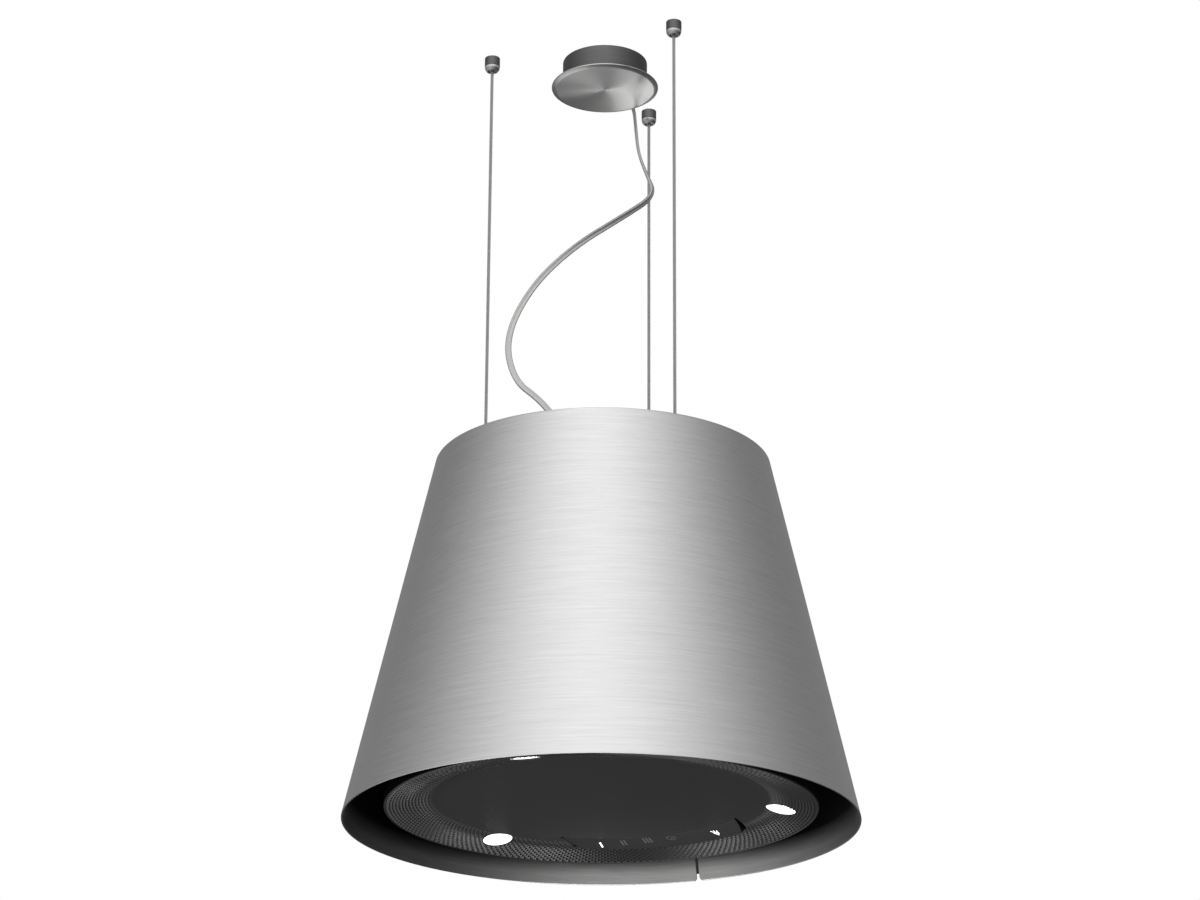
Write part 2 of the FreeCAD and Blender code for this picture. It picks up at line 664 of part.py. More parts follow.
def motor():
    """External-can fan motor with a top flange of three ears and a bore for the shaft."""
    low, high = level(MOTOR_BOTTOM_H), level(MOTOR_TOP_H)
    can = revolved([(0, low), (MOTOR_R - 6, low), (MOTOR_R, low + 6), (MOTOR_R, high - 4),
                    (MOTOR_R - 4, high), (0, high)])
    ears = [turned(block(MOTOR_R - 8, MOTOR_R + 14, -8, 8, high - 9, high - 6), azimuth)
            for azimuth in LAMP_AZIMUTHS]
    body = united([can] + ears)
    for azimuth in LAMP_AZIMUTHS:
        x, y = polar(MOTOR_R + 8, azimuth)
        body = body.cut(cylinder(4.0, high - 20, high + 5, x, y))
    return body.cut(cylinder(SHAFT_R + RUNNING, low - 5, level(MOTOR_TOP_H - 11)))


def motor_bush():
    """Rubber bush between a motor ear and the bracket (azimuth 0)."""
    ear_low, ear_high = level(MOTOR_TOP_H - 9), level(MOTOR_TOP_H - 6)
    x = MOTOR_R + 8
    top = level(CASING_TOP_H)
    parts = [cylinder(3.9, ear_low - 0.1, ear_high + 0.1, x), cylinder(7.0, ear_low - 4, ear_low, x),
             cylinder(7.0, ear_high, top, x)]
    return united(parts)


def motor_bracket():
    """Ring and three arms on the casing's top edge that carry the motor."""
    low, high = level(CASING_TOP_H), level(CASING_TOP_H + SHEET)
    ring = tube(CASING_R, CASING_R - 9, low, high)
    hub = tube(MOTOR_R + 4, MOTOR_R - 12, low, high)
    arms = [turned(block(MOTOR_R, CASING_R - 5, -9, 9, low, high), azimuth) for azimuth in LAMP_AZIMUTHS]
    return united([ring, hub] + arms)


def capacitor():
    """Run capacitor clipped to the inside edge of an upright."""
    x, y = polar(UPRIGHT_R + 7, LAMP_AZIMUTHS[1])
    side_x, side_y = polar(30, LAMP_AZIMUTHS[1] + 90)
    can = cylinder(13, level(250), level(305), x + side_x, y + side_y)
    pins = [cylinder(1.5, level(305), level(311), x + side_x + dx, y + side_y) for dx in (-5, 5)]
    clip = tube(14.2, 13.05, level(268), level(282), x + side_x, y + side_y)
    return united([can] + pins), clip


# ---- control electronics -----------------------------------------------------------------
BOX_X = 62.0
BOX_Y_NEAR = -UPRIGHT_R - UPRIGHT_DEPTH - 0.5
BOX_DEPTH = 40.0
BOX_LOW_H = 130.0
BOX_HIGH_H = 222.0
BOX_WALL = 2.0


def control_box():
    """Tray screwed to the front upright; it holds the control board and is closed by its lid."""
    far = BOX_Y_NEAR - BOX_DEPTH
    tray = block(-BOX_X, BOX_X, far, BOX_Y_NEAR, level(BOX_LOW_H), level(BOX_HIGH_H))
    hollow = block(-BOX_X + BOX_WALL, BOX_X - BOX_WALL, far - 1, BOX_Y_NEAR - BOX_WALL,
                   level(BOX_LOW_H + BOX_WALL), level(BOX_HIGH_H - BOX_WALL))
    entry = cylinder(4.5, level(BOX_HIGH_H - 5), level(BOX_HIGH_H + 5), -30, BOX_Y_NEAR - 18)
    second = cylinder(4.5, level(BOX_HIGH_H - 5), level(BOX_HIGH_H + 5), 30, BOX_Y_NEAR - 18)
    return tray.cut(hollow).cut(entry).cut(second)


def control_box_lid():
    far = BOX_Y_NEAR - BOX_DEPTH
    plate = block(-BOX_X, BOX_X, far - 2, far - 0.1, level(BOX_LOW_H), level(BOX_HIGH_H))
    ribs = [block(x, x + 2, far - 4, far - 1.9, level(BOX_LOW_H + 10), level(BOX_HIGH_H - 10))
            for x in range(-50, 51, 10)]
    return united([plate] + ribs)


def control_board():
    """Printed board on the tray's floor, with its transformer, relays and terminals."""
    back = BOX_Y_NEAR - BOX_WALL - 4
    board = block(-BOX_X + 4, BOX_X - 4, back - 1.6, back, level(BOX_LOW_H + 5), level(BOX_HIGH_H - 5))
    pieces = [board]
    for x_low, x_high, h_low, h_high, tall in ((-52, -18, 140, 172, 24), (-10, 4, 142, 160, 15),
                                               (10, 24, 142, 160, 15), (30, 52, 140, 168, 18),
                                               (-50, 50, 200, 210, 10)):
        pieces.append(block(x_low, x_high, back - 1.6 - tall, back - 1, level(h_low), level(h_high)))
    return united(pieces)


def lamp_driver():
    """LED driver case on the outer face of the right-hand upright (azimuth 0)."""
    near = UPRIGHT_R + UPRIGHT_DEPTH + 0.5
    case = block(near, near + 22, -19, 19, level(140), level(250))
    case = case.makeFillet(3.0, [e for e in case.Edges if abs(e.BoundBox.ZLength - 110) < 1e-6])
    ears = block(near, near + 2.5, -10, 10, level(132), level(258))
    return case.fuse(ears).removeSplitter()


LEAD_R = 2.6


def inner_leads():
    """Supply lead from the gland and motor lead from the motor, both to the control box."""
    box_top = level(BOX_HIGH_H)
    y_in = BOX_Y_NEAR - 18
    supply = swept_cord([
        (GLAND_X, 0, level(GRILLE_H - 12)), (GLAND_X, 0, level(305)), (-20, -38, level(284)),
        (-26, -85, level(284)), (-30, -125, level(276)), (-30, y_in, level(252)), (-30, y_in, box_top),
    ], LEAD_R, "supply lead")
    motor_lead = swept_cord([
        (24, 0, level(MOTOR_TOP_H)), (24, 0, level(266)), (27, -34, level(283)), (30, -78, level(285)),
        (30, -122, level(276)), (30, y_in, level(252)), (30, y_in, box_top),
    ], LEAD_R, "motor lead")
    return [supply, motor_lead]


# ---- grease filter -----------------------------------------------------------------------
FILTER_TOP_H = LOWER_FRAME_H - 0.5
FILTER_DEPTH = 9.0


LATCH_HALF = 10.0
LATCH_LOW = 3.0            # bolt's underside over the filter's underside
LATCH_TAIL = FILTER_R + 5.0
CASSETTE_END = 90.0


def grease_filter_frame():
    """Channel ring round the filter's mesh, with a flat cassette at its front for the latch."""
    high, low, sheet = level(FILTER_TOP_H), level(FILTER_TOP_H - FILTER_DEPTH), 1.2
    ring = revolved([
        (FILTER_R, low), (FILTER_R, high), (FILTER_R - 8, high), (FILTER_R - 8, high - sheet),
        (FILTER_R - sheet, high - sheet), (FILTER_R - sheet, low + sheet), (FILTER_R - 8, low + sheet),
        (FILTER_R - 8, low),
    ])
    cassette = block(-16, 16, -FILTER_R + 2, -CASSETTE_END, low, high)
    inside = block(-14.8, 14.8, -FILTER_R + sheet, -CASSETTE_END - sheet, low + sheet, high - sheet)
    bolt_way = block(-LATCH_HALF - 0.5, LATCH_HALF + 0.5, -FILTER_R - 3, -FILTER_R + 4,
                     low + LATCH_LOW - 0.5, low + LATCH_LOW + 3.5)
    tab_way = block(-7, 7, -FILTER_R + 8.5, -CASSETTE_END - 3, low - 1, low + 2)
    return ring.fuse(cassette).cut([inside, bolt_way, tab_way]).removeSplitter()


def grease_filter_mesh():
    """Pad of stacked aluminium mesh."""
    high, low = level(FILTER_TOP_H - 1.3), level(FILTER_TOP_H - FILTER_DEPTH + 1.3)
    pad = cylinder(FILTER_R - 1.3, low, high)
    return pad.cut(block(-16.1, 16.1, -FILTER_R, -CASSETTE_END + 0.1, low - 1, high + 1))


def filter_handle():
    """Handle riveted under the mesh, behind the latch."""
    low = level(FILTER_TOP_H - FILTER_DEPTH)
    mesh_low = level(FILTER_TOP_H - FILTER_DEPTH + 1.3)
    legs = [block(x - 3, x + 3, -78, -72, low - 9, mesh_low) for x in (-26, 26)]
    grip = block(-29, 29, -78, -72, low - 13, low - 8.5)
    grip = grip.makeFillet(1.8, [e for e in grip.Edges if abs(e.BoundBox.XLength - 58) < 1e-6])
    return united(legs + [grip])


def filter_latch():
    """Sliding bolt in the filter's cassette, with a finger tab that hangs through its floor."""
    low = level(FILTER_TOP_H - FILTER_DEPTH)
    bolt = block(-LATCH_HALF, LATCH_HALF, -LATCH_TAIL, -101, low + LATCH_LOW, low + LATCH_LOW + 3)
    tab = block(-5.5, 5.5, -104, -101, low - 7, low + LATCH_LOW + 1)
    return united([bolt, tab])


def filter_hooks():
    """Keep for the latch at the front of the lower frame, and two fixed hooks at its rear."""
    top, low = level(LOWER_FRAME_H + 0.1), level(FILTER_TOP_H - FILTER_DEPTH)
    keep_low = low + LATCH_LOW - 1.8
    keep = block(-13, 13, -LATCH_TAIL - 4, -LATCH_TAIL - 2.5, keep_low, top)
    toe = block(-13, 13, -LATCH_TAIL - 4, -LATCH_TAIL + 2.5, keep_low, keep_low + 1.5)
    screw_room = block(-5, 5, -LATCH_TAIL - 5, -LATCH_TAIL + 5, level(LOWER_FRAME_H) - 3.2, top + 1)
    hooks = [keep.cut(screw_room), toe]
    for azimuth in (60.0, 120.0):
        arm = block(FILTER_R + 1.5, FILTER_R + 3, -8, 8, low - 1.8, top)
        under = block(FILTER_R - 3, FILTER_R + 3, -8, 8, low - 1.8, low - 0.3)
        hooks += [turned(arm, azimuth), turned(under, azimuth)]
    return hooks


# ---- bottom panel ------------------------------------------------------------------------
def panel_ring_h(radius):
    """Height of the panel's visible face at a radius."""
    if radius <= PANEL_FLAT_R:
        return PANEL_FLAT_H
    return PANEL_LIP_H + (PANEL_R - radius) * (PANEL_FLAT_H - PANEL_LIP_H) / (PANEL_R - PANEL_FLAT_R)


def panel_blank():
    return revolved([
        (0, level(PANEL_FLAT_H)), (PANEL_FLAT_R, level(PANEL_FLAT_H)), (PANEL_R - 1.2, level(PANEL_LIP_H)),
        (PANEL_R, level(PANEL_LIP_H + 0.8)), (PANEL_R, level(PANEL_LIP_TOP_H)),
        (PANEL_R - PANEL_SHEET, level(PANEL_LIP_TOP_H)), (PANEL_R - PANEL_SHEET, level(PANEL_LIP_H + 2.6)),
        (PANEL_FLAT_R, level(PANEL_FLAT_H + PANEL_SHEET)), (0, level(PANEL_FLAT_H + PANEL_SHEET)),
    ])


def window_sector(outset, height_low, height_high):
    """The touch window's outline, a ring sector whose ends flare towards the middle."""
    inner, outer = WINDOW_INNER_R - outset, WINDOW_OUTER_R + outset
    swing = math.degrees(1.4 * outset / outer)
    flare_per_mm = WINDOW_FLARE / (WINDOW_OUTER_R - WINDOW_INNER_R)
    inner_swing = swing + flare_per_mm * (WINDOW_OUTER_R - inner)
    outer_swing = swing + flare_per_mm * (WINDOW_OUTER_R - outer)
    low, high = level(height_low), level(height_high)
    corners = [(inner, WINDOW_FROM - inner_swing), (outer, WINDOW_FROM - outer_swing),
               (outer, WINDOW_TO + outer_swing), (inner, WINDOW_TO + inner_swing)]
    (x0, y0), (x1, y1), (x2, y2), (x3, y3) = [polar(r, a) for r, a in corners]
    middle = (WINDOW_FROM + WINDOW_TO) / 2
    outer_mid, inner_mid = polar(outer, middle), polar(inner, middle)
    points = [FreeCAD.Vector(x, y, low) for x, y in
              ((x0, y0), (x1, y1), outer_mid, (x2, y2), (x3, y3), inner_mid)]
    edges = [Part.makeLine(points[0], points[1]), Part.Arc(points[1], points[2], points[3]).toShape(),
             Part.makeLine(points[3], points[4]), Part.Arc(points[4], points[5], points[0]).toShape()]
    return Part.Face(Part.Wire(edges)).extrude(FreeCAD.Vector(0, 0, high - low))


def lamp_frame(shape, azimuth):
    """Puts a lamp piece, modelled about Z with the panel's face at z = 0, in its place."""
    copy = shape.copy()
    copy.rotate(ORIGIN, FreeCAD.Vector(0, 1, 0), LAMP_TILT)
    copy.translate(FreeCAD.Vector(LAMP_RING_R, 0, level(panel_ring_h(LAMP_RING_R))))
    return turned(copy, azimuth)


def bottom_panel():
    panel = panel_blank().cut(window_sector(0, 0, 60))
    hole = Part.makeCylinder(LAMP_HOLE_R, 40, FreeCAD.Vector(0, 0, -20), Z_AXIS)
    for azimuth in LAMP_AZIMUTHS:
        panel = panel.cut(lamp_frame(hole, azimuth))
    return panel


def control_window():
    """Smooth wedge that stands proud of the sloping ring, with a flange on the panel's back."""
    flange_low = PANEL_FLAT_H + PANEL_SHEET + 0.05
    flange = window_sector(4.0, flange_low, flange_low + 1.95)
    wedge = window_sector(-0.1, PANEL_LIP_H, flange_low + 1)
    below_face = revolved([
        (0, level(0)), (PANEL_R, level(0)), (PANEL_R, level(WINDOW_OUTER_H)),
        (WINDOW_OUTER_R, level(WINDOW_OUTER_H)), (WINDOW_INNER_R + 0.1, level(PANEL_FLAT_H)),
        (0, level(PANEL_FLAT_H)),
    ])
    wedge = wedge.cut([below_face, window_end(WINDOW_FROM, 1), window_end(WINDOW_TO, -1)])
    return united([flange, wedge])


def window_end(azimuth, inward):
    """What the slanting end of the window leaves out: from the panel's face in to the face's corner."""
    ring_h = panel_ring_h(WINDOW_OUTER_R)
    tip = polar(WINDOW_INNER_R, azimuth - inward * WINDOW_FLARE)
    joint = polar(WINDOW_OUTER_R, azimuth)
    corner = polar(WINDOW_OUTER_R, azimuth + inward * WINDOW_DRAFT)
    tip = FreeCAD.Vector(tip[0], tip[1], level(PANEL_FLAT_H))
    joint = FreeCAD.Vector(joint[0], joint[1], level(ring_h))
    corner = FreeCAD.Vector(corner[0], corner[1], level(WINDOW_OUTER_H))
    along = (joint - tip).normalize()
    outward = (corner - tip).cross(along).normalize() * inward
    across = outward.cross(along)
    sheet = [tip - along * 9 - across * 9, joint + along * 9 - across * 9,
             joint + along * 9 + across * 9, tip - along * 9 + across * 9]
    face = Part.Face(Part.makePolygon(sheet + sheet[:1]))
    return face.extrude(outward * 9)


def touch_board():
    low = PANEL_FLAT_H + PANEL_SHEET + 2.1
    board = window_sector(-1.0, low, low + 1.6)
    chip = block(-10, 10, 150, 164, level(low + 1.5), level(low + 4.5))
    socket = block(24, 42, 149, 157, level(low + 1.5), level(low + 9))
    return united([board, chip, socket])


def touch_cover():
    """Plastic lid over the touch board."""
    low, high, wall = PANEL_FLAT_H + PANEL_SHEET + 2.1, PANEL_FLAT_H + PANEL_SHEET + 14.0, 1.6
    outside = window_sector(3.0, low, high)
    return outside.cut(window_sector(1.4, low - 1, high - wall))


def lamp_lens():
    return Part.makeCylinder(LAMP_LENS_R, 2.4, FreeCAD.Vector(0, 0, 0.2), Z_AXIS)


def lamp_housing():
    """Spot housing: a thin bezel in the panel's hole, a flange on its back and a finned heat sink."""
    bezel = Part.makeCylinder(LAMP_HOLE_R - 0.1, 6, ORIGIN, Z_AXIS)
    flange = Part.makeCylinder(21, 1.6, FreeCAD.Vector(0, 0, PANEL_SHEET + 0.15), Z_AXIS)
    sink = Part.makeCylinder(16, 12, FreeCAD.Vector(0, 0, 6), Z_AXIS)
    fins = [Part.makeCylinder(19, 1.2, FreeCAD.Vector(0, 0, 8 + 3 * k), Z_AXIS) for k in range(4)]
    housing = united([bezel, flange, sink] + fins)
    return housing.cut(Part.makeCylinder(LAMP_LENS_R + 0.05, 12, FreeCAD.Vector(0, 0, -1), Z_AXIS))


def panel_back_z():
    return level(PANEL_FLAT_H + PANEL_SHEET)


def lamp_leads():
    """Leads clipped on the panel's back, from each lamp to the touch cover."""
    z = panel_back_z() + 1.9
    cover_r = WINDOW_INNER_R - 5.9
    leads = []
    for azimuth, end_azimuth in ((30.0, 66.0), (150.0, 116.0)):
        toward = 1 if end_azimuth > azimuth else -1
        route = [polar(149, azimuth), polar(134, azimuth + 5 * toward), polar(127, azimuth + 18 * toward),
                 polar(129, end_azimuth - 4 * toward), polar(cover_r, end_azimuth)]
        leads.append(swept_cord([(x, y, z) for x, y in route], 1.8, "lamp lead"))
    front = [(0, -149), (4, -120), (26, -88), (38, -38), (36, 20), (25, 68), (11, 108)]
    front.append((4, math.sqrt(cover_r ** 2 - 16)))
    leads.append(swept_cord([(x, y, z) for x, y in front], 1.8, "lamp lead"))
    return leads


# ---- panel hinge and catches -------------------------------------------------------------
def x_cylinder(radius, x_low, x_high, y, z):
    return Part.makeCylinder(radius, x_high - x_low, FreeCAD.Vector(x_low, y, z), FreeCAD.Vector(1, 0, 0))


def hinge_arm():
    """Arm on the panel's back with an eye round the pin (right-hand side)."""
    z = level(HINGE_H)
    foot = block(HINGE_X - 7, HINGE_X + 7, 96, 118, panel_back_z() + 0.05, panel_back_z() + 2.0)
    web = block(HINGE_X - 1.5, HINGE_X + 1.5, 96, HINGE_Y, panel_back_z() + 0.05, z)
    eye = x_cylinder(7.0, HINGE_X - 4, HINGE_X + 4, HINGE_Y, z)
    bore = x_cylinder(HINGE_PIN_R + RUNNING, HINGE_X - 20, HINGE_X + 20, HINGE_Y, z)
    return united([foot, web, eye]).cut([bore, panel_blank()])


def hinge_bracket():
    """Fork that hangs from the lower frame and holds the pin on both sides of the arm's eye."""
    z, top = level(HINGE_H), level(LOWER_FRAME_H)
    cheeks = []
    for x_low in (HINGE_X - 8.0, HINGE_X + 6.0):
        cheek = x_cylinder(7.0, x_low, x_low + 2.0, HINGE_Y, z)
        plate = Part.makePolygon([FreeCAD.Vector(x_low, y, zz) for y, zz in
                                  ((HINGE_Y - 7, z), (HINGE_Y + 7, z), (HINGE_Y + 4, z + 14), (112, top - 1),
                                   (88, top - 1), (88, top - 8), (HINGE_Y - 7, z))])
        cheeks.append(cheek.fuse(Part.Face(plate).extrude(FreeCAD.Vector(2.0, 0, 0))))
    bridge = block(HINGE_X - 8, HINGE_X + 8, 80, 112, top - 2.1, top - 0.1)
    inside_frame = cylinder(LOWER_FRAME_R - 1, top - 3, top)
    bracket = united(cheeks + [bridge.common(inside_frame)])
    return bracket.cut(x_cylinder(HINGE_PIN_R + 0.02, HINGE_X - 20, HINGE_X + 20, HINGE_Y, z))


def hinge_pin():
    z = level(HINGE_H)
    pin = x_cylinder(HINGE_PIN_R, HINGE_X - 9, HINGE_X + 9, HINGE_Y, z)
    return united([pin, x_cylinder(4.6, HINGE_X + 8.1, HINGE_X + 10, HINGE_Y, z)])


MAGNET_X = 70.0
MAGNET_Y = -150.0
KEEPER_TOP_H = 27.0


def catch_magnet():
    """Magnet on a strut that hangs from the lower frame (right-hand side)."""
    magnet = block(MAGNET_X - 12, MAGNET_X + 12, MAGNET_Y - 8, MAGNET_Y + 8,
                   level(KEEPER_TOP_H + GAP), level(38))
    strut = block(MAGNET_X - 8, MAGNET_X + 8, MAGNET_Y - 1, MAGNET_Y + 1, level(37), level(70))
    lean = Part.makePolygon([FreeCAD.Vector(MAGNET_X - 8, y, level(h)) for y, h in
                             ((MAGNET_Y - 1, 68), (MAGNET_Y + 1, 68), (-120, LOWER_FRAME_H - 2),
                              (-104, LOWER_FRAME_H - 2), (-104, LOWER_FRAME_H - 0.1),
                              (-121, LOWER_FRAME_H - 0.1), (MAGNET_Y - 1, 70), (MAGNET_Y - 1, 68))])
    return united([magnet, strut, Part.Face(lean).extrude(FreeCAD.Vector(16, 0, 0))])


def keeper_plate():
    plate = block(MAGNET_X - 12, MAGNET_X + 12, MAGNET_Y - 8, MAGNET_Y + 8, panel_back_z() + 0.05,
                  level(KEEPER_TOP_H))
    return plate.cut(panel_blank())


# ---- the assembly ------------------------------------------------------------------------
def at_cables(shape):
    return [turned(moved(shape, CABLE_RING_R, 0, 0), azimuth) for azimuth in CABLE_AZIMUTHS]


def pair(shape):
    return [shape, mirrored_x(shape)]


def build_all():
    os.makedirs("parts", exist_ok=True)
    # ceiling set
    save("anchor_bases", at_cables(anchor_base()))
    save("anchor_caps", at_cables(anchor_cap()))
    save("cable_ferrules", at_cables(cable_ferrule()))
    for k, cable in enumerate(at_cables(suspension_cable()), 1):
        save(f"suspension_cable_{k}", cable)
    save("canopy_bracket", canopy_bracket())
    save("canopy_cup", canopy_cup())
    save("canopy_disc", canopy_disc())
    save("cup_grommet", cup_grommet())
    save("cord_clamp", cord_clamp())
    save("terminal_block", terminal_block())
    save("power_cord", swept_cord(CORD_ROUTE, CORD_R, "power cord"))
    # shade, top plate and frame
    save("outer_shell", outer_shell())
    save("seam_strip", seam_strip())
    save("top_ring", top_ring())
    save("top_grille", top_grille())
    save("cord_gland", cord_gland())
    save("gland_nut", gland_nut())
    save("cable_grippers", at_cables(gripper_body()))
    save("gripper_nuts", at_cables(gripper_nut()))
    for k, plunger in enumerate(at_cables(gripper_plunger()), 1):
        save(f"gripper_plunger_{k}", plunger)
    save("frame_uprights", [turned(frame_upright(), azimuth) for azimuth in LAMP_AZIMUTHS])
    save("lower_frame", lower_frame())
    save("air_guide", air_guide())
    save("frame_screws", screws())
    # blower
    save("blower_casing", blower_casing())
    save("inlet_ring", inlet_ring())
    save("charcoal_cartridge", charcoal_cartridge())
    save("impeller", impeller())
    save("motor_shaft", motor_shaft())
    save("impeller_nut", impeller_nut())
    save("motor", motor())
    save("motor_bushes", [turned(motor_bush(), azimuth) for azimuth in LAMP_AZIMUTHS])
    save("motor_bracket", motor_bracket())
    can, clip = capacitor()
    save("capacitor", can)
    save("capacitor_clip", clip)
    # electrics
    save("control_box", control_box())
    save("control_box_lid", control_box_lid())
    save("control_board", control_board())
    save("lamp_driver", turned(lamp_driver(), LAMP_AZIMUTHS[0]))
    save("inner_leads", inner_leads())
    # grease filter
    save("grease_filter_frame", grease_filter_frame())
    save("grease_filter_mesh", grease_filter_mesh())
    save("filter_handle", filter_handle())
    save("filter_latch", filter_latch())
    # bottom panel
    save("bottom_panel", bottom_panel())
    save("control_window", control_window())
    save("touch_board", touch_board())
    save("touch_cover", touch_cover())
    save("lamp_housings", [lamp_frame(lamp_housing(), azimuth) for azimuth in LAMP_AZIMUTHS])
    save("lamp_lenses", [lamp_frame(lamp_lens(), azimuth) for azimuth in LAMP_AZIMUTHS])
    save("lamp_leads", lamp_leads())
    save("hinge_arms", pair(hinge_arm()))
    save("hinge_brackets", pair(hinge_bracket()))
    save("hinge_pins", pair(hinge_pin()))
    save("catch_magnets", pair(catch_magnet()))
    save("keeper_plates", pair(keeper_plate()))


build_all()
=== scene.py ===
"""Looks of the cable-hung range hood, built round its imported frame.

Metres, in the frame's own axes: the origin is on the hood's axis in the ceiling plane, +Z is up,
the user stands at -Y, and the shell's seam and the touch window are at +Y. Heights inside the
hood are given in millimetres over its bottom rim, and level() turns them into Z.
"""
import math

import bmesh
import bpy
from mathutils import Matrix, Vector


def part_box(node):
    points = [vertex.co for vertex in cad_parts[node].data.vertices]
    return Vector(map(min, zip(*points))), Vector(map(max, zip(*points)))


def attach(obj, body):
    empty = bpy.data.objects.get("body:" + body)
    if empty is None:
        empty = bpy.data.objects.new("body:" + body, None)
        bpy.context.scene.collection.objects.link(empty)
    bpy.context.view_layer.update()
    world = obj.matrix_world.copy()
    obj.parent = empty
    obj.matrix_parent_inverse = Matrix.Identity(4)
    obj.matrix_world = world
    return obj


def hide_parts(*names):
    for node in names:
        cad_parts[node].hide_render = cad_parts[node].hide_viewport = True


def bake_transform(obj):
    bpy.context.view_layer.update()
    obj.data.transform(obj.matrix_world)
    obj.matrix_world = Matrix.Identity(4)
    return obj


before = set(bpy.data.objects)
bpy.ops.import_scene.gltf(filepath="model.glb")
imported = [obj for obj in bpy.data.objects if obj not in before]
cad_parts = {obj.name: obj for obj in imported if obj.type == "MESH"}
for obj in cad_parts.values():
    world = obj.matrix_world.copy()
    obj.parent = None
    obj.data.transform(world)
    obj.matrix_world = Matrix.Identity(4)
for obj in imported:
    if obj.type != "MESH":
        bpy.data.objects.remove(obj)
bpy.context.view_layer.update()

MM = 0.001
X_AXIS, Y_AXIS, Z_AXIS = Vector((1, 0, 0)), Vector((0, 1, 0)), Vector((0, 0, 1))
WELD = 1e-7                     # points closer than this are one
SHARP_ANGLE = 35.0

# ---- sizes of the object -----------------------------------------------------------------
SHELL_LOW, SHELL_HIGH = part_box("outer_shell")
RIM_Z = SHELL_LOW.z
BOTTOM_R = SHELL_HIGH.x
SHELL_HEIGHT = (SHELL_HIGH.z - SHELL_LOW.z) / MM
TOP_R = 167.3 * MM
SHELL_WALL = 1.54 * MM          # horizontally through the sloping sheet
SHELL_COLUMNS = 480
SHEET_MEAN_R = 0.21             # turns angles into lengths along the sheet
SEAM_AZIMUTH = 90.0
SEAM_WIDTH = 3.0
NOTCH_R = 4.0

CABLE_AZIMUTHS = (90.0, 210.0, 330.0)
LAMP_AZIMUTHS = (30.0, 150.0, 270.0)
CABLE_RING_R = 118.2 * MM

PANEL_R = 209.5
PANEL_LIP_H = 12.6
PANEL_FLAT_H = 22.5
PANEL_FLAT_R = 165.0
PANEL_BEND = 15.0               # the bend between flat and cone reaches this far to both sides
PANEL_SHEET = 2.0
PANEL_TOP_H = 24.0
WINDOW_INNER_R, WINDOW_OUTER_R = 145.0, 172.0
WINDOW_OUTER_H = 18.0
WINDOW_FROM, WINDOW_TO, WINDOW_FLARE = 56.5, 122.4, 8.0          # degrees
WINDOW_DRAFT = 1.9              # its face's outer corners lie this far inside its foot's, degrees
WINDOW_COLUMNS = 72
WINDOW_END_GAP = 1.15           # shadow gap at each end, degrees
LAMP_RING_R = 175.0
LAMP_HOLE_R, LAMP_LENS_R = 15.6, 14.6
LAMP_TILT = 12.0

CUP_R, CUP_DEPTH, CUP_HOLE_R = 44.0, 26.0, 4.72
DISC_R, DISC_FACE = 55.5, 30.0
ANCHOR_R, ANCHOR_LENGTH = 7.9, 16.0
ANCHOR_LIP_H = 10.8             # the lip, painted bright as a highlight against the dark band, begins this far under the ceiling

CAMERA_AZIMUTH = 23.755         # heading of the camera, from +Y towards -X
CAMERA_PITCH = 20.889
CAMERA_ROLL = 0.313
CAMERA_AT = (1.2835, -2.9239, -1.6509)
CAMERA_LENS = 102.32


def level(height):
    """Z of a height over the bottom rim, given in millimetres."""
    return RIM_Z + height * MM


def polar(radius, azimuth, z=0.0):
    angle = math.radians(azimuth)
    return Vector((radius * math.cos(angle), radius * math.sin(angle), z))


def in_metres(outline):
    return [(p[0] * MM, p[1] * MM) for p in outline]


def rotation(degrees, axis):
    return Matrix.Rotation(math.radians(degrees), 4, axis)


def smooth_step(value):
    """0 below 0, 1 above 1, and a soft rise in between."""
    t = min(max(value, 0.0), 1.0)
    return t * t * (3 - 2 * t)


# ---- meshes ------------------------------------------------------------------------------
def in_scene(name, data):
    """A new object with the given data, linked to the scene."""
    piece = bpy.data.objects.new(name, data)
    bpy.context.scene.collection.objects.link(piece)
    return piece


def smooth(mesh, sharp=SHARP_ANGLE):
    """Smooth shading, except where faces meet at more than the sharp angle."""
    mesh.polygons.foreach_set("use_smooth", [True] * len(mesh.polygons))
    mesh.set_sharp_from_angle(angle=math.radians(sharp))


def mesh_piece(name, points, faces, sharp=SHARP_ANGLE, uvs=None):
    """A new object from points in metres, cleaned, with its faces turned outwards."""
    mesh = bpy.data.meshes.new(name)
    mesh.from_pydata([tuple(p) for p in points], [], faces)
    if uvs is not None:
        layer = mesh.uv_layers.new(name="sheet")
        for loop in mesh.loops:
            layer.data[loop.index].uv = uvs[loop.vertex_index]
    bm = bmesh.new()
    bm.from_mesh(mesh)
    bmesh.ops.remove_doubles(bm, verts=bm.verts, dist=WELD)
    bmesh.ops.dissolve_degenerate(bm, edges=bm.edges, dist=WELD)
    bmesh.ops.recalc_face_normals(bm, faces=bm.faces)
    bm.to_mesh(mesh)
    bm.free()
    smooth(mesh, sharp)
    return in_scene(name, mesh)


def strip(low, high, count):
    """Faces between two closed rings of points, given by the number of each ring's first point."""
    return [(low + k, low + (k + 1) % count, high + (k + 1) % count, high + k) for k in range(count)]


def circle(centre, side, other, radius, count):
    """Points round a centre, in the plane of two unit vectors."""
    angles = [2 * math.pi * k / count for k in range(count)]
    return [centre + side * (radius * math.cos(a)) + other * (radius * math.sin(a)) for a in angles]


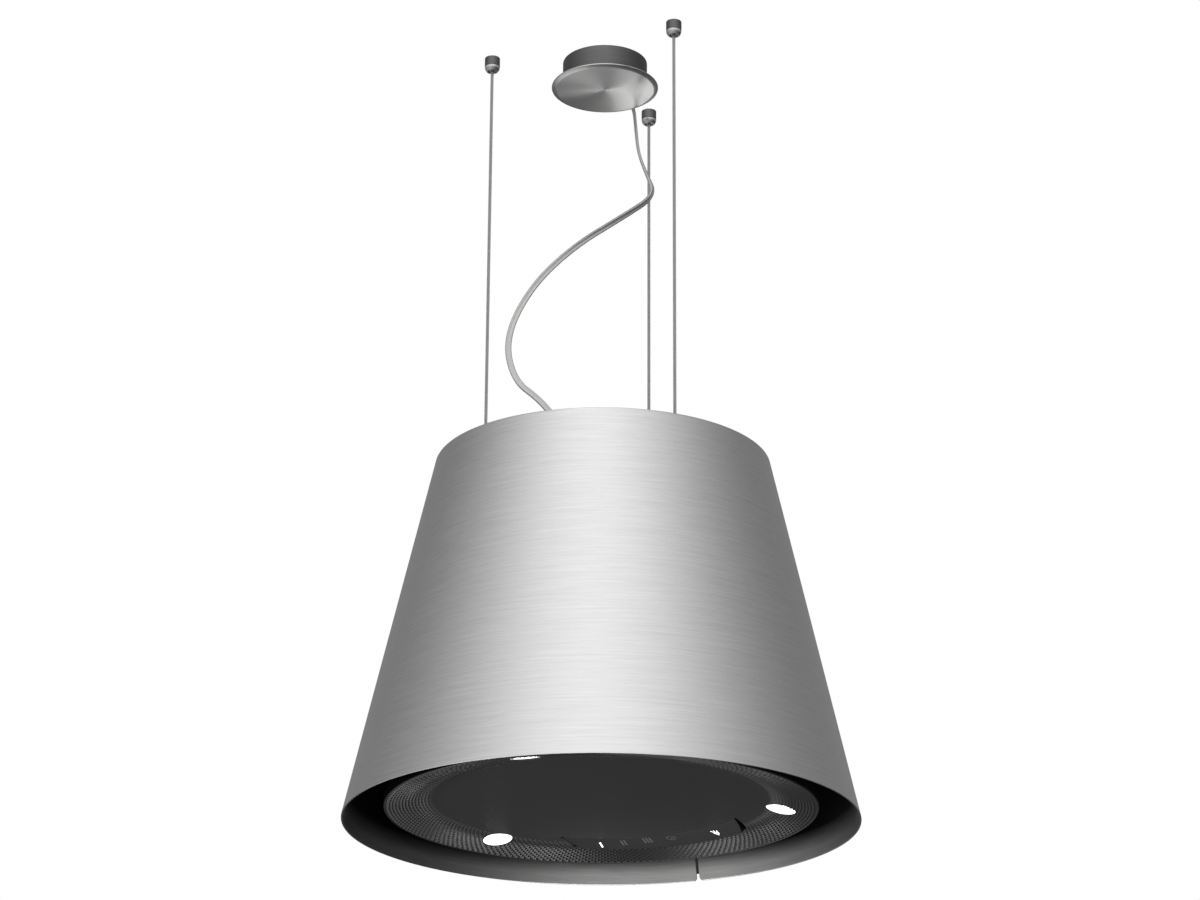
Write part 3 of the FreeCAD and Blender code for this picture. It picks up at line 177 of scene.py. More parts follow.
def rounded(outline, radius, steps=3):
    """A closed outline with its corners rounded; each point may give its own radius as a third number."""
    result = []
    count = len(outline)
    for k, corner in enumerate(outline):
        here = Vector(corner[:2])
        before = Vector(outline[k - 1][:2]) - here
        after = Vector(outline[(k + 1) % count][:2]) - here
        size = corner[2] if len(corner) > 2 else radius
        size = min(size, 0.45 * before.length, 0.45 * after.length)
        if size < 1e-6 or here.x < 1e-9:
            result.append(here)
            continue
        first = here + before.normalized() * size
        last = here + after.normalized() * size
        for step in range(steps + 1):
            t = step / steps
            result.append(first * (1 - t) ** 2 + here * (2 * t * (1 - t)) + last * t ** 2)
    return result


def revolved(name, outline, turns, pose=None, sharp=SHARP_ANGLE):
    """A closed outline of (radius, z) in metres turned about Z, and then moved by the pose."""
    points, faces = [], []
    count = len(outline)
    for turn in range(turns):
        points += [polar(radius, 360.0 * turn / turns, z) for radius, z in outline]
        faces += strip(turn * count, (turn + 1) % turns * count, count)
    if pose is not None:
        points = [pose @ p for p in points]
    return mesh_piece(name, points, faces, sharp)


def extruded(name, outline, z_low, z_high, bevel=0.0):
    """A flat outline of (x, y) in metres drawn out along Z, with bevelled edges if asked."""
    count = len(outline)
    points = [Vector((x, y, z_low)) for x, y in outline] + [Vector((x, y, z_high)) for x, y in outline]
    faces = [tuple(range(count))[::-1], tuple(range(count, 2 * count))] + strip(0, count, count)
    piece = mesh_piece(name, points, faces)
    if bevel > 0:
        bevelled(piece, bevel)
    return piece


def bevelled(piece, width, angle=30.0, segments=2):
    """Rounds a piece's sharp edges for good."""
    modifier = piece.modifiers.new("edges", "BEVEL")
    modifier.width = width
    modifier.segments = segments
    modifier.limit_method = "ANGLE"
    modifier.angle_limit = math.radians(angle)
    settle(piece)


def settle(piece):
    """Applies a piece's modifiers to its mesh."""
    graph = bpy.context.evaluated_depsgraph_get()
    mesh = bpy.data.meshes.new_from_object(piece.evaluated_get(graph))
    piece.modifiers.clear()
    piece.data = mesh
    smooth(mesh)


def cut_by(piece, cutters):
    """Takes the cutters' volumes out of a piece and removes the cutters."""
    for cutter in cutters:
        modifier = piece.modifiers.new("cut", "BOOLEAN")
        modifier.operation = "DIFFERENCE"
        modifier.solver = "EXACT"
        modifier.object = cutter
    settle(piece)
    for cutter in cutters:
        bpy.data.objects.remove(cutter)


def joined(name, pieces):
    """Several objects as one piece with the meshes of all of them."""
    bm = bmesh.new()
    for piece in pieces:
        piece.data.transform(piece.matrix_world)
        bm.from_mesh(piece.data)
        bpy.data.objects.remove(piece)
    mesh = bpy.data.meshes.new(name)
    bm.to_mesh(mesh)
    bm.free()
    mesh.set_sharp_from_angle(angle=math.radians(SHARP_ANGLE))
    return in_scene(name, mesh)


def tube_along(name, path, ring_at):
    """A closed tube through the path's points; ring_at(k) gives the points of ring k round its centre."""
    rings = [ring_at(k) for k in range(len(path))]
    count = len(rings[0])
    points = [p for ring in rings for p in ring]
    faces = [tuple(range(count))[::-1], tuple(range(len(points) - count, len(points)))]
    for k in range(len(path) - 1):
        faces += strip(k * count, (k + 1) * count, count)
    return mesh_piece(name, points, faces, sharp=50)


# ---- materials ---------------------------------------------------------------------------
class Nodes:
    """Adds shader nodes to a node tree."""

    def __init__(self, tree):
        self.tree = tree

    def node(self, kind, settings=None, **inputs):
        """A node with its settings; an input is a value or another node's output socket."""
        made = self.tree.nodes.new("ShaderNode" + kind)
        for key, value in (settings or {}).items():
            setattr(made, key, value)
        for key, value in inputs.items():
            socket = made.inputs[int(key[1:]) if key[1:].isdigit() else key.replace("_", " ")]
            if isinstance(value, bpy.types.NodeSocket):
                self.tree.links.new(value, socket)
            else:
                socket.default_value = value
        return made

    def math(self, operation, first, second=0.0, third=0.0):
        return self.node("Math", {"operation": operation}, _0=first, _1=second, _2=third).outputs[0]


class Finish(Nodes):
    """One Principled material. Constants go on the shader's sockets, patterns come from nodes."""

    def __init__(self, name, colour, **values):
        self.material = bpy.data.materials.new(name)
        self.material.use_nodes = True
        super().__init__(self.material.node_tree)
        self.shader = self.tree.nodes["Principled BSDF"]
        self.colour = colour
        self.shader.inputs["Base Color"].default_value = (*colour, 1)
        for key, value in values.items():
            self.shader.inputs[key.replace("_", " ").title().replace("Ior", "IOR")].default_value = value
        self.height = None

    def object_point(self):
        return self.node("TexCoord").outputs["Object"]

    def sheet_point(self):
        return self.node("UVMap", {"uv_map": "sheet"}).outputs[0]

    def ring_point(self, along):
        """Angle times along, radius and height about Z, for marks that run round the axis."""
        split = self.node("SeparateXYZ", Vector=self.object_point())
        x, y, z = split.outputs
        angle = self.math("MULTIPLY", self.math("ARCTAN2", x, self.math("MULTIPLY", y, -1.0)), along)
        radius = self.math("SQRT", self.math("ADD", self.math("MULTIPLY", x, x),
                                             self.math("MULTIPLY", y, y)))
        return self.node("CombineXYZ", X=angle, Y=radius, Z=z).outputs[0]

    def noise(self, scale, detail=3.0, break_up=0.55, distortion=0.0, point=None):
        """Noise on the object, or at another point; a scale of three numbers stretches it."""
        point = self.object_point() if point is None else point
        if not isinstance(scale, float):
            point, scale = self.node("Mapping", Vector=point, Scale=scale).outputs[0], 1.0
        return self.node("TexNoise", Vector=point, Scale=scale, Detail=detail, Roughness=break_up,
                         Distortion=distortion).outputs["Fac"]

    def cells(self, scale, output="Distance"):
        return self.node("TexVoronoi", Vector=self.object_point(), Scale=scale).outputs[output]

    def spread(self, value, low, high, from_low=0.3, from_high=0.7):
        """Maps a pattern's useful range to low..high."""
        made = self.node("MapRange", {"clamp": True}, Value=value)
        for key, number in (("From Min", from_low), ("From Max", from_high), ("To Min", low),
                            ("To Max", high)):
            made.inputs[key].default_value = number
        return made.outputs[0]

    def base(self, gain=1.0):
        """The base colour so far times a gain: a node's output, or the plain colour."""
        links = self.shader.inputs["Base Color"].links
        if not links:
            return (*[min(1.0, c * gain) for c in self.colour], 1)
        source = links[0].from_socket
        if gain == 1.0:
            return source
        return self.node("VectorMath", {"operation": "SCALE"}, _0=source, Scale=gain).outputs[0]

    def mix_base(self, value, first, second, from_low, from_high):
        """Makes the base colour run from the first colour to the second by a pattern."""
        factor = self.spread(value, 0.0, 1.0, from_low, from_high)
        mix = self.node("Mix", {"data_type": "RGBA"}, Factor=factor, _6=first, _7=second)
        self.tree.links.new(mix.outputs[2], self.shader.inputs["Base Color"])

    def shade(self, value, darker, lighter, from_low=0.3, from_high=0.7):
        """Varies the base colour between two brightnesses of it."""
        self.mix_base(value, self.base(darker), self.base(lighter), from_low, from_high)

    def tint(self, value, other, from_low, from_high):
        """Mixes the base colour towards another colour by a pattern."""
        self.mix_base(value, self.base(), (*other, 1), from_low, from_high)

    def roughen(self, value, low, high, from_low=0.3, from_high=0.7):
        self.tree.links.new(self.spread(value, low, high, from_low, from_high),
                            self.shader.inputs["Roughness"])

    def bump(self, value, depth, strength=1.0):
        """Adds relief of a depth in metres; several calls lie on top of each other."""
        made = self.node("Bump", Height=value, Distance=depth, Strength=strength)
        if self.height is not None:
            self.tree.links.new(self.height, made.inputs["Normal"])
        self.height = made.outputs[0]
        self.tree.links.new(self.height, self.shader.inputs["Normal"])

    def brush_round_axis(self):
        """Points the anisotropic gloss along circles round Z."""
        tangent = self.node("Tangent", {"direction_type": "RADIAL", "axis": "Z"})
        self.tree.links.new(tangent.outputs[0], self.shader.inputs["Tangent"])


# painted shade: the black that the shell's inside darkens to up in the gap over the panel, where shade falls
PAINTED_SHADE_BLACK = (0.012, 0.012, 0.012)


def brushed_steel(name, colour, on_sheet, roughness=0.3, painted_shade_from=None):
    """Stainless sheet with its grain round the axis: long faint streaks over fine short ones.

    The last argument gives two heights over the rim between which the colour darkens to black: painted
    shade, standing in for the shade up in the gap over the panel.
    """
    finish = Finish(name, colour, metallic=1.0, roughness=roughness, anisotropic=0.75,
                    anisotropic_rotation=0.25)
    point = finish.sheet_point() if on_sheet else finish.ring_point(0.2)
    across = 1 if on_sheet else 2

    def streaks(along_scale, across_scale, detail, break_up=0.55):
        scale = [along_scale] * 3
        scale[across] = across_scale
        return finish.noise(scale, detail, break_up, point=point)

    long_streaks = streaks(13.0, 420.0, 4.0, 0.65)
    short_streaks = streaks(34.0, 1150.0, 3.0)
    hairs = streaks(90.0, 2600.0, 2.0)
    finish.shade(long_streaks, 0.93, 1.06)
    finish.shade(short_streaks, 0.92, 1.065)
    finish.roughen(short_streaks, roughness - 0.05, roughness + 0.07)
    finish.bump(short_streaks, 0.00003, 0.5)
    finish.bump(hairs, 0.00002, 0.5)
    # painted shade: the inside darkens towards black with height, for the shade up in the gap
    if painted_shade_from:
        height = finish.node("SeparateXYZ", Vector=finish.object_point()).outputs[2]
        finish.tint(height, PAINTED_SHADE_BLACK, level(painted_shade_from[0]), level(painted_shade_from[1]))
    finish.brush_round_axis()
    return finish.material


def spun_steel(name, colour, roughness=0.28):
    """Disc brushed in circles round its centre."""
    finish = Finish(name, colour, metallic=1.0, roughness=roughness, anisotropic=0.92,
                    anisotropic_rotation=0.25)
    point = finish.ring_point(0.02)
    rings = finish.noise((30.0, 1500.0, 60.0), 4.0, point=point)
    broad = finish.noise((20.0, 260.0, 20.0), 2.0, point=point)
    finish.shade(broad, 0.99, 1.01)
    finish.shade(rings, 0.97, 1.02)
    finish.roughen(rings, roughness - 0.005, roughness + 0.005)
    finish.bump(rings, 0.0000005, 0.5)
    finish.brush_round_axis()
    return finish.material


def galvanised(name):
    """Zinc-coated sheet with soft crystals."""
    finish = Finish(name, (0.42, 0.43, 0.44), metallic=0.85, roughness=0.42)
    grey = finish.node("SeparateColor", Color=finish.cells(130.0, "Color")).outputs[0]
    finish.shade(grey, 0.86, 1.14, 0.0, 1.0)
    finish.shade(finish.noise(45.0), 0.92, 1.05)
    finish.roughen(grey, 0.34, 0.52, 0.0, 1.0)
    finish.bump(finish.noise(900.0), 0.00002, 0.4)
    return finish.material


def plated(name, colour, roughness=0.28):
    """Small turned or plated pieces of steel."""
    finish = Finish(name, colour, metallic=1.0, roughness=roughness)
    turning = finish.noise((300.0, 300.0, 4200.0), 2.0)
    stain = finish.noise(160.0)
    finish.shade(turning, 0.9, 1.06)
    finish.shade(stain, 0.9, 1.05)
    finish.roughen(stain, roughness - 0.06, roughness + 0.12)
    finish.bump(turning, 0.00002, 0.4)
    return finish.material


def powder_coat(name, colour, roughness=0.5, grain=1600.0, depth=0.00003, shine=0.5):
    """Baked powder paint: fine orange peel with a slight change of gloss."""
    finish = Finish(name, colour, roughness=roughness, specular_ior_level=shine, coat_weight=0.1 * shine,
                    coat_roughness=0.4)
    peel = finish.noise(grain)
    cloud = finish.noise(25.0)
    finish.shade(cloud, 0.88, 1.14)
    finish.shade(peel, 0.9, 1.12)
    finish.roughen(cloud, roughness - 0.05, roughness + 0.08)
    finish.bump(peel, depth, 0.7)
    return finish.material


def moulded(name, colour, roughness=0.45):
    """Injection-moulded plastic with a spark-eroded grain."""
    finish = Finish(name, colour, roughness=roughness)
    grains = finish.cells(2200.0)
    flow = finish.noise((18.0, 18.0, 60.0), 2.0, distortion=1.0)
    finish.shade(flow, 0.9, 1.12)
    finish.roughen(flow, roughness - 0.06, roughness + 0.06)
    finish.bump(grains, 0.00003, 0.5)
    return finish.material


def rubber(name):
    finish = Finish(name, (0.018, 0.018, 0.018), roughness=0.7, sheen_weight=0.15, sheen_roughness=0.5)
    dust = finish.noise(90.0, 4.0)
    finish.shade(dust, 0.8, 1.5)
    finish.roughen(dust, 0.6, 0.8)
    finish.bump(finish.noise(1800.0), 0.00004, 0.6)
    return finish.material


def bare_aluminium(name):
    finish = Finish(name, (0.66, 0.67, 0.68), metallic=1.0, roughness=0.36)
    rolling = finish.noise((1400.0, 40.0, 900.0), 3.0)
    cloud = finish.noise(60.0)
    finish.shade(rolling, 0.88, 1.06)
    finish.shade(cloud, 0.92, 1.04)
    finish.roughen(cloud, 0.3, 0.46)
    finish.bump(rolling, 0.00003, 0.5)
    return finish.material


def cast_alloy(name):
    finish = Finish(name, (0.4, 0.41, 0.42), metallic=0.9, roughness=0.5)
    pits = finish.noise(700.0, 4.0)
    finish.shade(finish.noise(40.0), 0.86, 1.08)
    finish.roughen(pits, 0.42, 0.62)
    finish.bump(pits, 0.00012, 0.6)
    return finish.material


def circuit_board(name):
    """Green solder mask over right-angled tracks."""
    finish = Finish(name, (0.012, 0.1, 0.045), roughness=0.3, coat_weight=0.4, coat_roughness=0.15)
    tracks = finish.node("TexBrick", {"offset": 0.37, "squash": 0.6}, Vector=finish.object_point(),
                         Scale=160.0, Mortar_Size=0.05, Brick_Width=0.9, Row_Height=0.32).outputs["Fac"]
    finish.tint(tracks, (0.03, 0.2, 0.08), 0.2, 0.8)
    finish.shade(finish.noise(70.0), 0.85, 1.15)
    finish.bump(tracks, 0.00003, 0.8)
    return finish.material


def charcoal(name):
    finish = Finish(name, (0.02, 0.02, 0.022), roughness=0.75)
    grains = finish.cells(420.0)
    finish.shade(grains, 0.5, 1.9, 0.0, 0.6)
    finish.bump(grains, 0.0008)
    return finish.material


def opal_lens(name):
    """Lit diffuser."""
    finish = Finish(name, (0.95, 0.95, 0.93), roughness=0.35, emission_color=(1, 1, 0.985, 1),
                    emission_strength=1.25)
    finish.bump(finish.cells(900.0), 0.0001, 0.5)
    finish.shade(finish.noise(300.0), 0.96, 1.03)
    return finish.material


def lit_print(name, colour, strength):
    finish = Finish(name, colour, roughness=0.4, emission_color=(*colour, 1), emission_strength=strength)
    finish.shade(finish.noise(1500.0), 0.9, 1.05)
    return finish.material


def satin_panel(name):
    """The pressed panel's satin black paint."""
    finish = Finish(name, (0.0125, 0.0125, 0.013), roughness=0.3)
    peel = finish.noise(1300.0)
    haze = finish.noise(14.0, 4.0)
    finish.shade(haze, 0.98, 1.03)
    finish.shade(peel, 0.95, 1.06)
    finish.roughen(haze, 0.285, 0.3)
    finish.bump(peel, 0.000006, 0.4)
    return finish.material


def clear_sheath(name):
    """Silvery cores seen through a glossy clear sheath."""
    finish = Finish(name, (0.47, 0.47, 0.46), roughness=0.28, metallic=0.4, coat_weight=1.0,
                    coat_roughness=0.08)
    braid = finish.noise((500.0, 500.0, 900.0), 3.0)
    finish.shade(braid, 0.82, 1.15)
    finish.roughen(braid, 0.24, 0.42)
    finish.bump(braid, 0.00005, 0.5)
    return finish.material


def pale_stage(name, colour):
    finish = Finish(name, colour, roughness=0.85)
    finish.shade(finish.noise(0.6), 0.985, 1.01)
    return finish.material


MATERIALS = {
    "shell": brushed_steel("shell_brushed_steel", (0.6, 0.6, 0.6), True),
    # the inside's steel carries painted shade: it darkens to black up in the gap over the panel
    "shell_inside_painted_shade": brushed_steel("shell_inside_painted_shade_steel", (0.56, 0.56, 0.555), True, 0.36, (9.0, 27.0)),
    "disc": spun_steel("canopy_spun_steel", (0.6, 0.6, 0.595)),
    "cup": brushed_steel("canopy_dark_steel", (0.165, 0.165, 0.165), False, 0.5),
    "anchor": plated("anchor_dark_steel", (0.13, 0.13, 0.13), 0.38),
    # painted highlight: the caps' lip is a bright copy of the same steel as the dark band
    "anchor_lip_painted_highlight": plated("anchor_lip_painted_highlight_steel", (0.6, 0.6, 0.6), 0.34),
    "cable": plated("cable_steel", (0.5, 0.5, 0.5), 0.5),
    "zinc": galvanised("galvanised_sheet"),
    "screw": plated("zinc_plate", (0.6, 0.6, 0.61)),
    "black_paint": powder_coat("black_powder_coat", (0.02, 0.02, 0.02)),
    "panel": satin_panel("panel_satin_black"),
    "window": powder_coat("window_satin_black", (0.0095, 0.0095, 0.01), 0.5, 2500.0, 0.00001, 0.33),
    # painted shade: near-black with almost no gloss for the window's end walls and flange, standing in for
    # the shade in the gaps
    "window_edge_painted_shade": powder_coat("window_edge_painted_shade_black", (0.002, 0.002, 0.002), 0.7, 2500.0, 0.00001, 0.04),
    "lens": opal_lens("lamp_opal_lens"),
    "lamp_black": powder_coat("lamp_black_anodised", (0.012, 0.012, 0.012), 0.38, 3000.0, 0.00001),
    "rubber": rubber("black_rubber"),
    "sheath": clear_sheath("cord_clear_sheath"),
    "black_plastic": moulded("black_plastic", (0.022, 0.022, 0.023)),
    "grey_plastic": moulded("grey_plastic", (0.5, 0.5, 0.48), 0.5),
    "board": circuit_board("circuit_board"),
    "aluminium": bare_aluminium("filter_aluminium"),
    "cast": cast_alloy("motor_cast_alloy"),
    "fan": moulded("fan_plastic", (0.035, 0.035, 0.037), 0.5),
    "charcoal": charcoal("charcoal_grains"),
    "magnet": plated("magnet_steel", (0.09, 0.09, 0.09), 0.35),
    "lit": lit_print("symbol_lit", (0.95, 0.95, 0.95), 1.6),
    "unlit": lit_print("symbol_unlit", (0.09, 0.09, 0.09), 0.05),
}

CAD_LOOKS = {
    "zinc": ("canopy_bracket", "top_ring", "frame_uprights", "blower_casing", "inlet_ring",
             "motor_bracket", "hinge_arms", "keeper_plates"),
    "screw": ("anchor_bases", "cable_grippers", "gripper_nuts", "gripper_plunger_1", "gripper_plunger_2",
              "gripper_plunger_3", "frame_screws", "motor_shaft", "impeller_nut", "hinge_pins"),
    "anchor": ("cable_ferrules",),
    "black_paint": ("top_grille", "lower_frame", "air_guide", "hinge_brackets"),
    "rubber": ("cup_grommet", "seam_strip", "motor_bushes", "inner_leads", "lamp_leads"),
    "black_plastic": ("cord_gland", "gland_nut", "capacitor_clip", "control_box", "control_box_lid",
                      "filter_handle", "filter_latch", "touch_cover"),
    "grey_plastic": ("cord_clamp", "terminal_block", "capacitor", "lamp_driver"),
    "board": ("control_board", "touch_board"),
    "aluminium": ("grease_filter_frame",),
    "cast": ("motor",),
    "fan": ("impeller",),
    "charcoal": ("charcoal_cartridge",),
    "magnet": ("catch_magnets",),
    "window": ("control_window",),
    "lamp_black": ("lamp_housings",),
}


def paint(piece, look):
    piece.data.materials.clear()
    piece.data.materials.append(MATERIALS[look])


def paint_cad_nodes():
    for look, nodes in CAD_LOOKS.items():
        for node in nodes:
            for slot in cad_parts[node].material_slots:
                slot.material = MATERIALS[look]


def paint_faces(piece, look, chosen):
    """Gives the faces that chosen() picks a second material."""
    piece.data.materials.append(MATERIALS[look])
    for polygon in piece.data.polygons:
        if chosen(polygon):
            polygon.material_index = 1


def place(piece, body, look, slot, *nodes):
    """Gives a piece its material and its body, and hides the CAD nodes that it stands for. The slot is not
    used.
    """
    paint(piece, look)
    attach(piece, body)
    if nodes:
        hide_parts(*nodes)


# ---- the shade ---------------------------------------------------------------------------
def shell_radius(height):
    return BOTTOM_R + (TOP_R - BOTTOM_R) * height / SHELL_HEIGHT


def seam_half_width(height):
    """Half the slit's width, in metres; its two corners at the rim are rounded."""
    if height >= NOTCH_R:
        return SEAM_WIDTH / 2 * MM
    return (SEAM_WIDTH / 2 + NOTCH_R - math.sqrt(NOTCH_R ** 2 - (NOTCH_R - height) ** 2)) * MM


def make_shell():
    """The rolled steel shade: outer and inner face with rounded rims, open at the seam."""
    rim, edge = 0.45, 0.13
    heights = [rim, 1.0, 1.5, 2.0, 3.0, NOTCH_R, 6.0, 10.0]
    heights += [10.0 + (SHELL_HEIGHT - 14.0) * k / 30 for k in range(1, 31)]
    heights += [SHELL_HEIGHT - 2.0, SHELL_HEIGHT - rim]
    outside = [(0.0, rim), (edge, edge)] + [(h, 0.0) for h in heights]
    outside += [(SHELL_HEIGHT - edge, edge), (SHELL_HEIGHT, rim)]
    loop = outside + [(h, SHELL_WALL / MM - depth) for h, depth in reversed(outside)]
    count = len(loop)
    points, uvs, faces = [], [], []
    for column in range(SHELL_COLUMNS + 1):
        for height, depth in loop:
            radius = shell_radius(height) - depth * MM
            half = seam_half_width(height) / radius
            angle = math.radians(SEAM_AZIMUTH) + half + column / SHELL_COLUMNS * (2 * math.pi - 2 * half)
            points.append(polar(radius, math.degrees(angle), level(height)))
            uvs.append((angle * SHEET_MEAN_R, (height + depth) * MM))
    for column in range(SHELL_COLUMNS):
        faces += strip(column * count, (column + 1) * count, count)
    for start in (0, SHELL_COLUMNS * count):
        for k in range(count // 2 - 1):
            faces.append((start + k, start + k + 1, start + count - 2 - k, start + count - 1 - k))
    shell = mesh_piece("shell", points, faces, 40, uvs)
    place(shell, "hood", "shell", "shell_steel", "outer_shell")

    def inner(polygon):
        outside_r = shell_radius((polygon.center.z - RIM_Z) / MM)
        return polygon.center.xy.length < outside_r - 0.7 * SHELL_WALL

    # the inner faces get the steel with painted shade up in the gap
    paint_faces(shell, "shell_inside_painted_shade", inner)


# ---- the panel ---------------------------------------------------------------------------
def panel_height(radius):
    """Height of the panel's face, in millimetres over the rim: flat, a soft bend, then a cone."""
    slope = (PANEL_FLAT_H - PANEL_LIP_H) / (PANEL_R - PANEL_FLAT_R)
    if radius <= PANEL_FLAT_R - PANEL_BEND:
        return PANEL_FLAT_H
    if radius >= PANEL_FLAT_R + PANEL_BEND:
        return PANEL_LIP_H + (PANEL_R - radius) * slope
    return PANEL_FLAT_H - slope * (radius - PANEL_FLAT_R + PANEL_BEND) ** 2 / (4 * PANEL_BEND)


RELIEF_AROUND = 190             # diamonds round the panel
RELIEF_INNER_R = 152.0
RELIEF_FULL_R = 186.0
RELIEF_OUTER_R = 207.6
RELIEF_ROWS = 18
RELIEF_DEPTH = 1.4


def relief_depth(radius):
    """How far a diamond's tip stands out: full at the rim, none where the pattern fades away."""
    return RELIEF_DEPTH * smooth_step((radius - RELIEF_INNER_R) / (RELIEF_FULL_R - RELIEF_INNER_R))


def make_panel():
    """The pressed panel: a flat middle and a sloping ring of small diamonds on two crossing spirals."""
    around = RELIEF_AROUND
    pitch = (RELIEF_OUTER_R - RELIEF_INNER_R) / RELIEF_ROWS
    points, faces = [], []

    def ring(radius, height, shift=0.0):
        start = len(points)
        points.extend(polar(radius * MM, (k + shift) * 360.0 / around, level(height)) for k in range(around))
        return start

    def close_off(first, rings):
        """Joins ring after ring to the first one, and closes the last with a flat fan."""
        for radius, height in rings:
            last = ring(radius, height)
            faces.extend(strip(first, last, around))
            first = last
        points.append(Vector((0, 0, level(height))))
        faces.extend((first + k, first + (k + 1) % around, len(points) - 1) for k in range(around))

    lattice = []
    for row in range(RELIEF_ROWS + 1):
        radius = RELIEF_INNER_R + row * pitch
        lattice.append(ring(radius, panel_height(radius), 0.5 * (row % 2)))
    for row in range(1, RELIEF_ROWS):
        radius = RELIEF_INNER_R + row * pitch
        tips = ring(radius, panel_height(radius) - relief_depth(radius), 0.5 * (row % 2) + 0.5)
        for k in range(around):
            after = (k + 1) % around
            beside = after if row % 2 else k
            left, right = lattice[row] + k, lattice[row] + after
            low, high = lattice[row - 1] + beside, lattice[row + 1] + beside
            tip = tips + k
            faces.extend([(left, low, tip), (low, right, tip), (right, high, tip), (high, left, tip)])
    for edge, beside in ((lattice[0], lattice[1]), (lattice[-1], lattice[-2])):
        faces.extend((edge + k, edge + (k + 1) % around, beside + k) for k in range(around))

    outline = [(208.3, PANEL_LIP_H + 0.05), (209.1, PANEL_LIP_H + 0.35), (PANEL_R, PANEL_LIP_H + 1.0),
               (PANEL_R, PANEL_TOP_H - 0.4), (209.2, PANEL_TOP_H), (207.8, PANEL_TOP_H),
               (207.5, PANEL_TOP_H - 0.4), (207.5, PANEL_LIP_H + 2.8),
               (PANEL_FLAT_R, PANEL_FLAT_H + PANEL_SHEET)]
    close_off(lattice[-1], outline)
    close_off(lattice[0], [(radius, PANEL_FLAT_H) for radius in (135.0, 105.0, 70.0, 35.0)])
    panel = mesh_piece("panel_disc", points, faces, 12)
    cutters = [lamp_cutter(azimuth) for azimuth in LAMP_AZIMUTHS]
    cutters.append(extruded("window_cutter", window_outline(0.0), level(5), level(40)))
    cut_by(panel, cutters)
    panel.data.set_sharp_from_angle(angle=math.radians(14))
    return panel


def lamp_place(azimuth):
    """Matrix of a lamp: its own z = 0 is the panel's face, and it leans with the sloping ring."""
    stand = Matrix.Translation((LAMP_RING_R * MM, 0, level(panel_height(LAMP_RING_R))))
    return rotation(azimuth, "Z") @ stand @ rotation(LAMP_TILT, "Y")


def lamp_cutter(azimuth):
    outline = in_metres([(0, -20), (LAMP_HOLE_R, -20), (LAMP_HOLE_R, 20), (0, 20)])
    return revolved("lamp_cutter", outline, 64, lamp_place(azimuth))


def window_span(radius, outset, draft=0.0):
    """The two azimuths between which the touch window lies, at a radius in millimetres.

    The outset is a margin in millimetres, and the draft pulls both ends in by degrees.
    """
    flare = WINDOW_FLARE * (WINDOW_OUTER_R - radius) / (WINDOW_OUTER_R - WINDOW_INNER_R)
    more = math.degrees(1.4 * outset / (WINDOW_OUTER_R + outset)) + flare - draft
    return WINDOW_FROM - more, WINDOW_TO + more


def window_outline(outset):
    """Outline of the touch window: a ring sector whose ends flare towards the middle."""
    arc = WINDOW_COLUMNS
    outline = []
    for radius, back in ((WINDOW_OUTER_R + outset, False), (WINDOW_INNER_R - outset, True)):
        first, last = window_span(radius, outset)
        if back:
            first, last = last, first
        outline += [polar(radius * MM, first + (last - first) * k / arc).xy for k in range(arc + 1)]
    return outline


def window_height(radius):
    """Height of the touch window's face, which slopes down from the panel's flat, in millimetres."""
    slope = (PANEL_FLAT_H - WINDOW_OUTER_H) / (WINDOW_OUTER_R - WINDOW_INNER_R)
    return PANEL_FLAT_H - slope * (radius - WINDOW_INNER_R)


def make_window():
    """The smooth wedge over the touch keys, with slanting ends, and its flange behind the panel."""
    back = PANEL_FLAT_H + PANEL_SHEET
    rows, columns, gap = 6, WINDOW_COLUMNS, 0.1
    points, faces = [], []
    front, rear, joints = [], [], []
    for row in range(rows + 1):
        t = row / rows
        radius = WINDOW_INNER_R + gap + (WINDOW_OUTER_R - WINDOW_INNER_R - 2 * gap) * t
        layers = ((front, WINDOW_DRAFT * t, window_height(radius), columns),
                  (rear, 0.0, back + 1.0, columns), (joints, 0.0, panel_height(radius), 1))
        for grid, draft, height, parts in layers:
            first, last = window_span(radius, -gap, draft + WINDOW_END_GAP)
            grid.append(range(len(points), len(points) + parts + 1))
            points += [polar(radius * MM, first + (last - first) * k / parts, level(height))
                       for k in range(parts + 1)]
    for row in range(rows):
        for grid in (front, rear):
            faces += [(grid[row][k], grid[row][k + 1], grid[row + 1][k + 1], grid[row + 1][k])
                      for k in range(columns)]
        for side in (0, -1):
            low, middle, high = ((grid[row][side], grid[row + 1][side]) for grid in (front, joints, rear))
            faces += [(low[0], low[1], middle[1], middle[0]), (middle[0], middle[1], high[1], high[0])]
    for row in (0, rows):
        for k in range(columns):
            wall = [front[row][k], front[row][k + 1], rear[row][k + 1], rear[row][k]]
            if k == columns - 1:
                wall.insert(2, joints[row][1])
            if k == 0:
                wall.append(joints[row][0])
            faces.append(tuple(wall))
    wedge = mesh_piece("wedge", points, faces)
    bevelled(wedge, 0.25 * MM, 40.0, 3)
    flange = extruded("flange", window_outline(4.0), level(back + 0.05), level(back + 2.0), 0.3 * MM)
    window = joined("touch_window", [wedge, flange])
    place(window, "panel", "window", "window_black", "control_window")
    # painted shade: the end walls and the flange behind the panel get near-black, for the shade in the gaps
    # at the ends
    paint_faces(window, "window_edge_painted_shade",
                lambda polygon: polygon.normal.z > -0.96 or polygon.center.z > level(back))


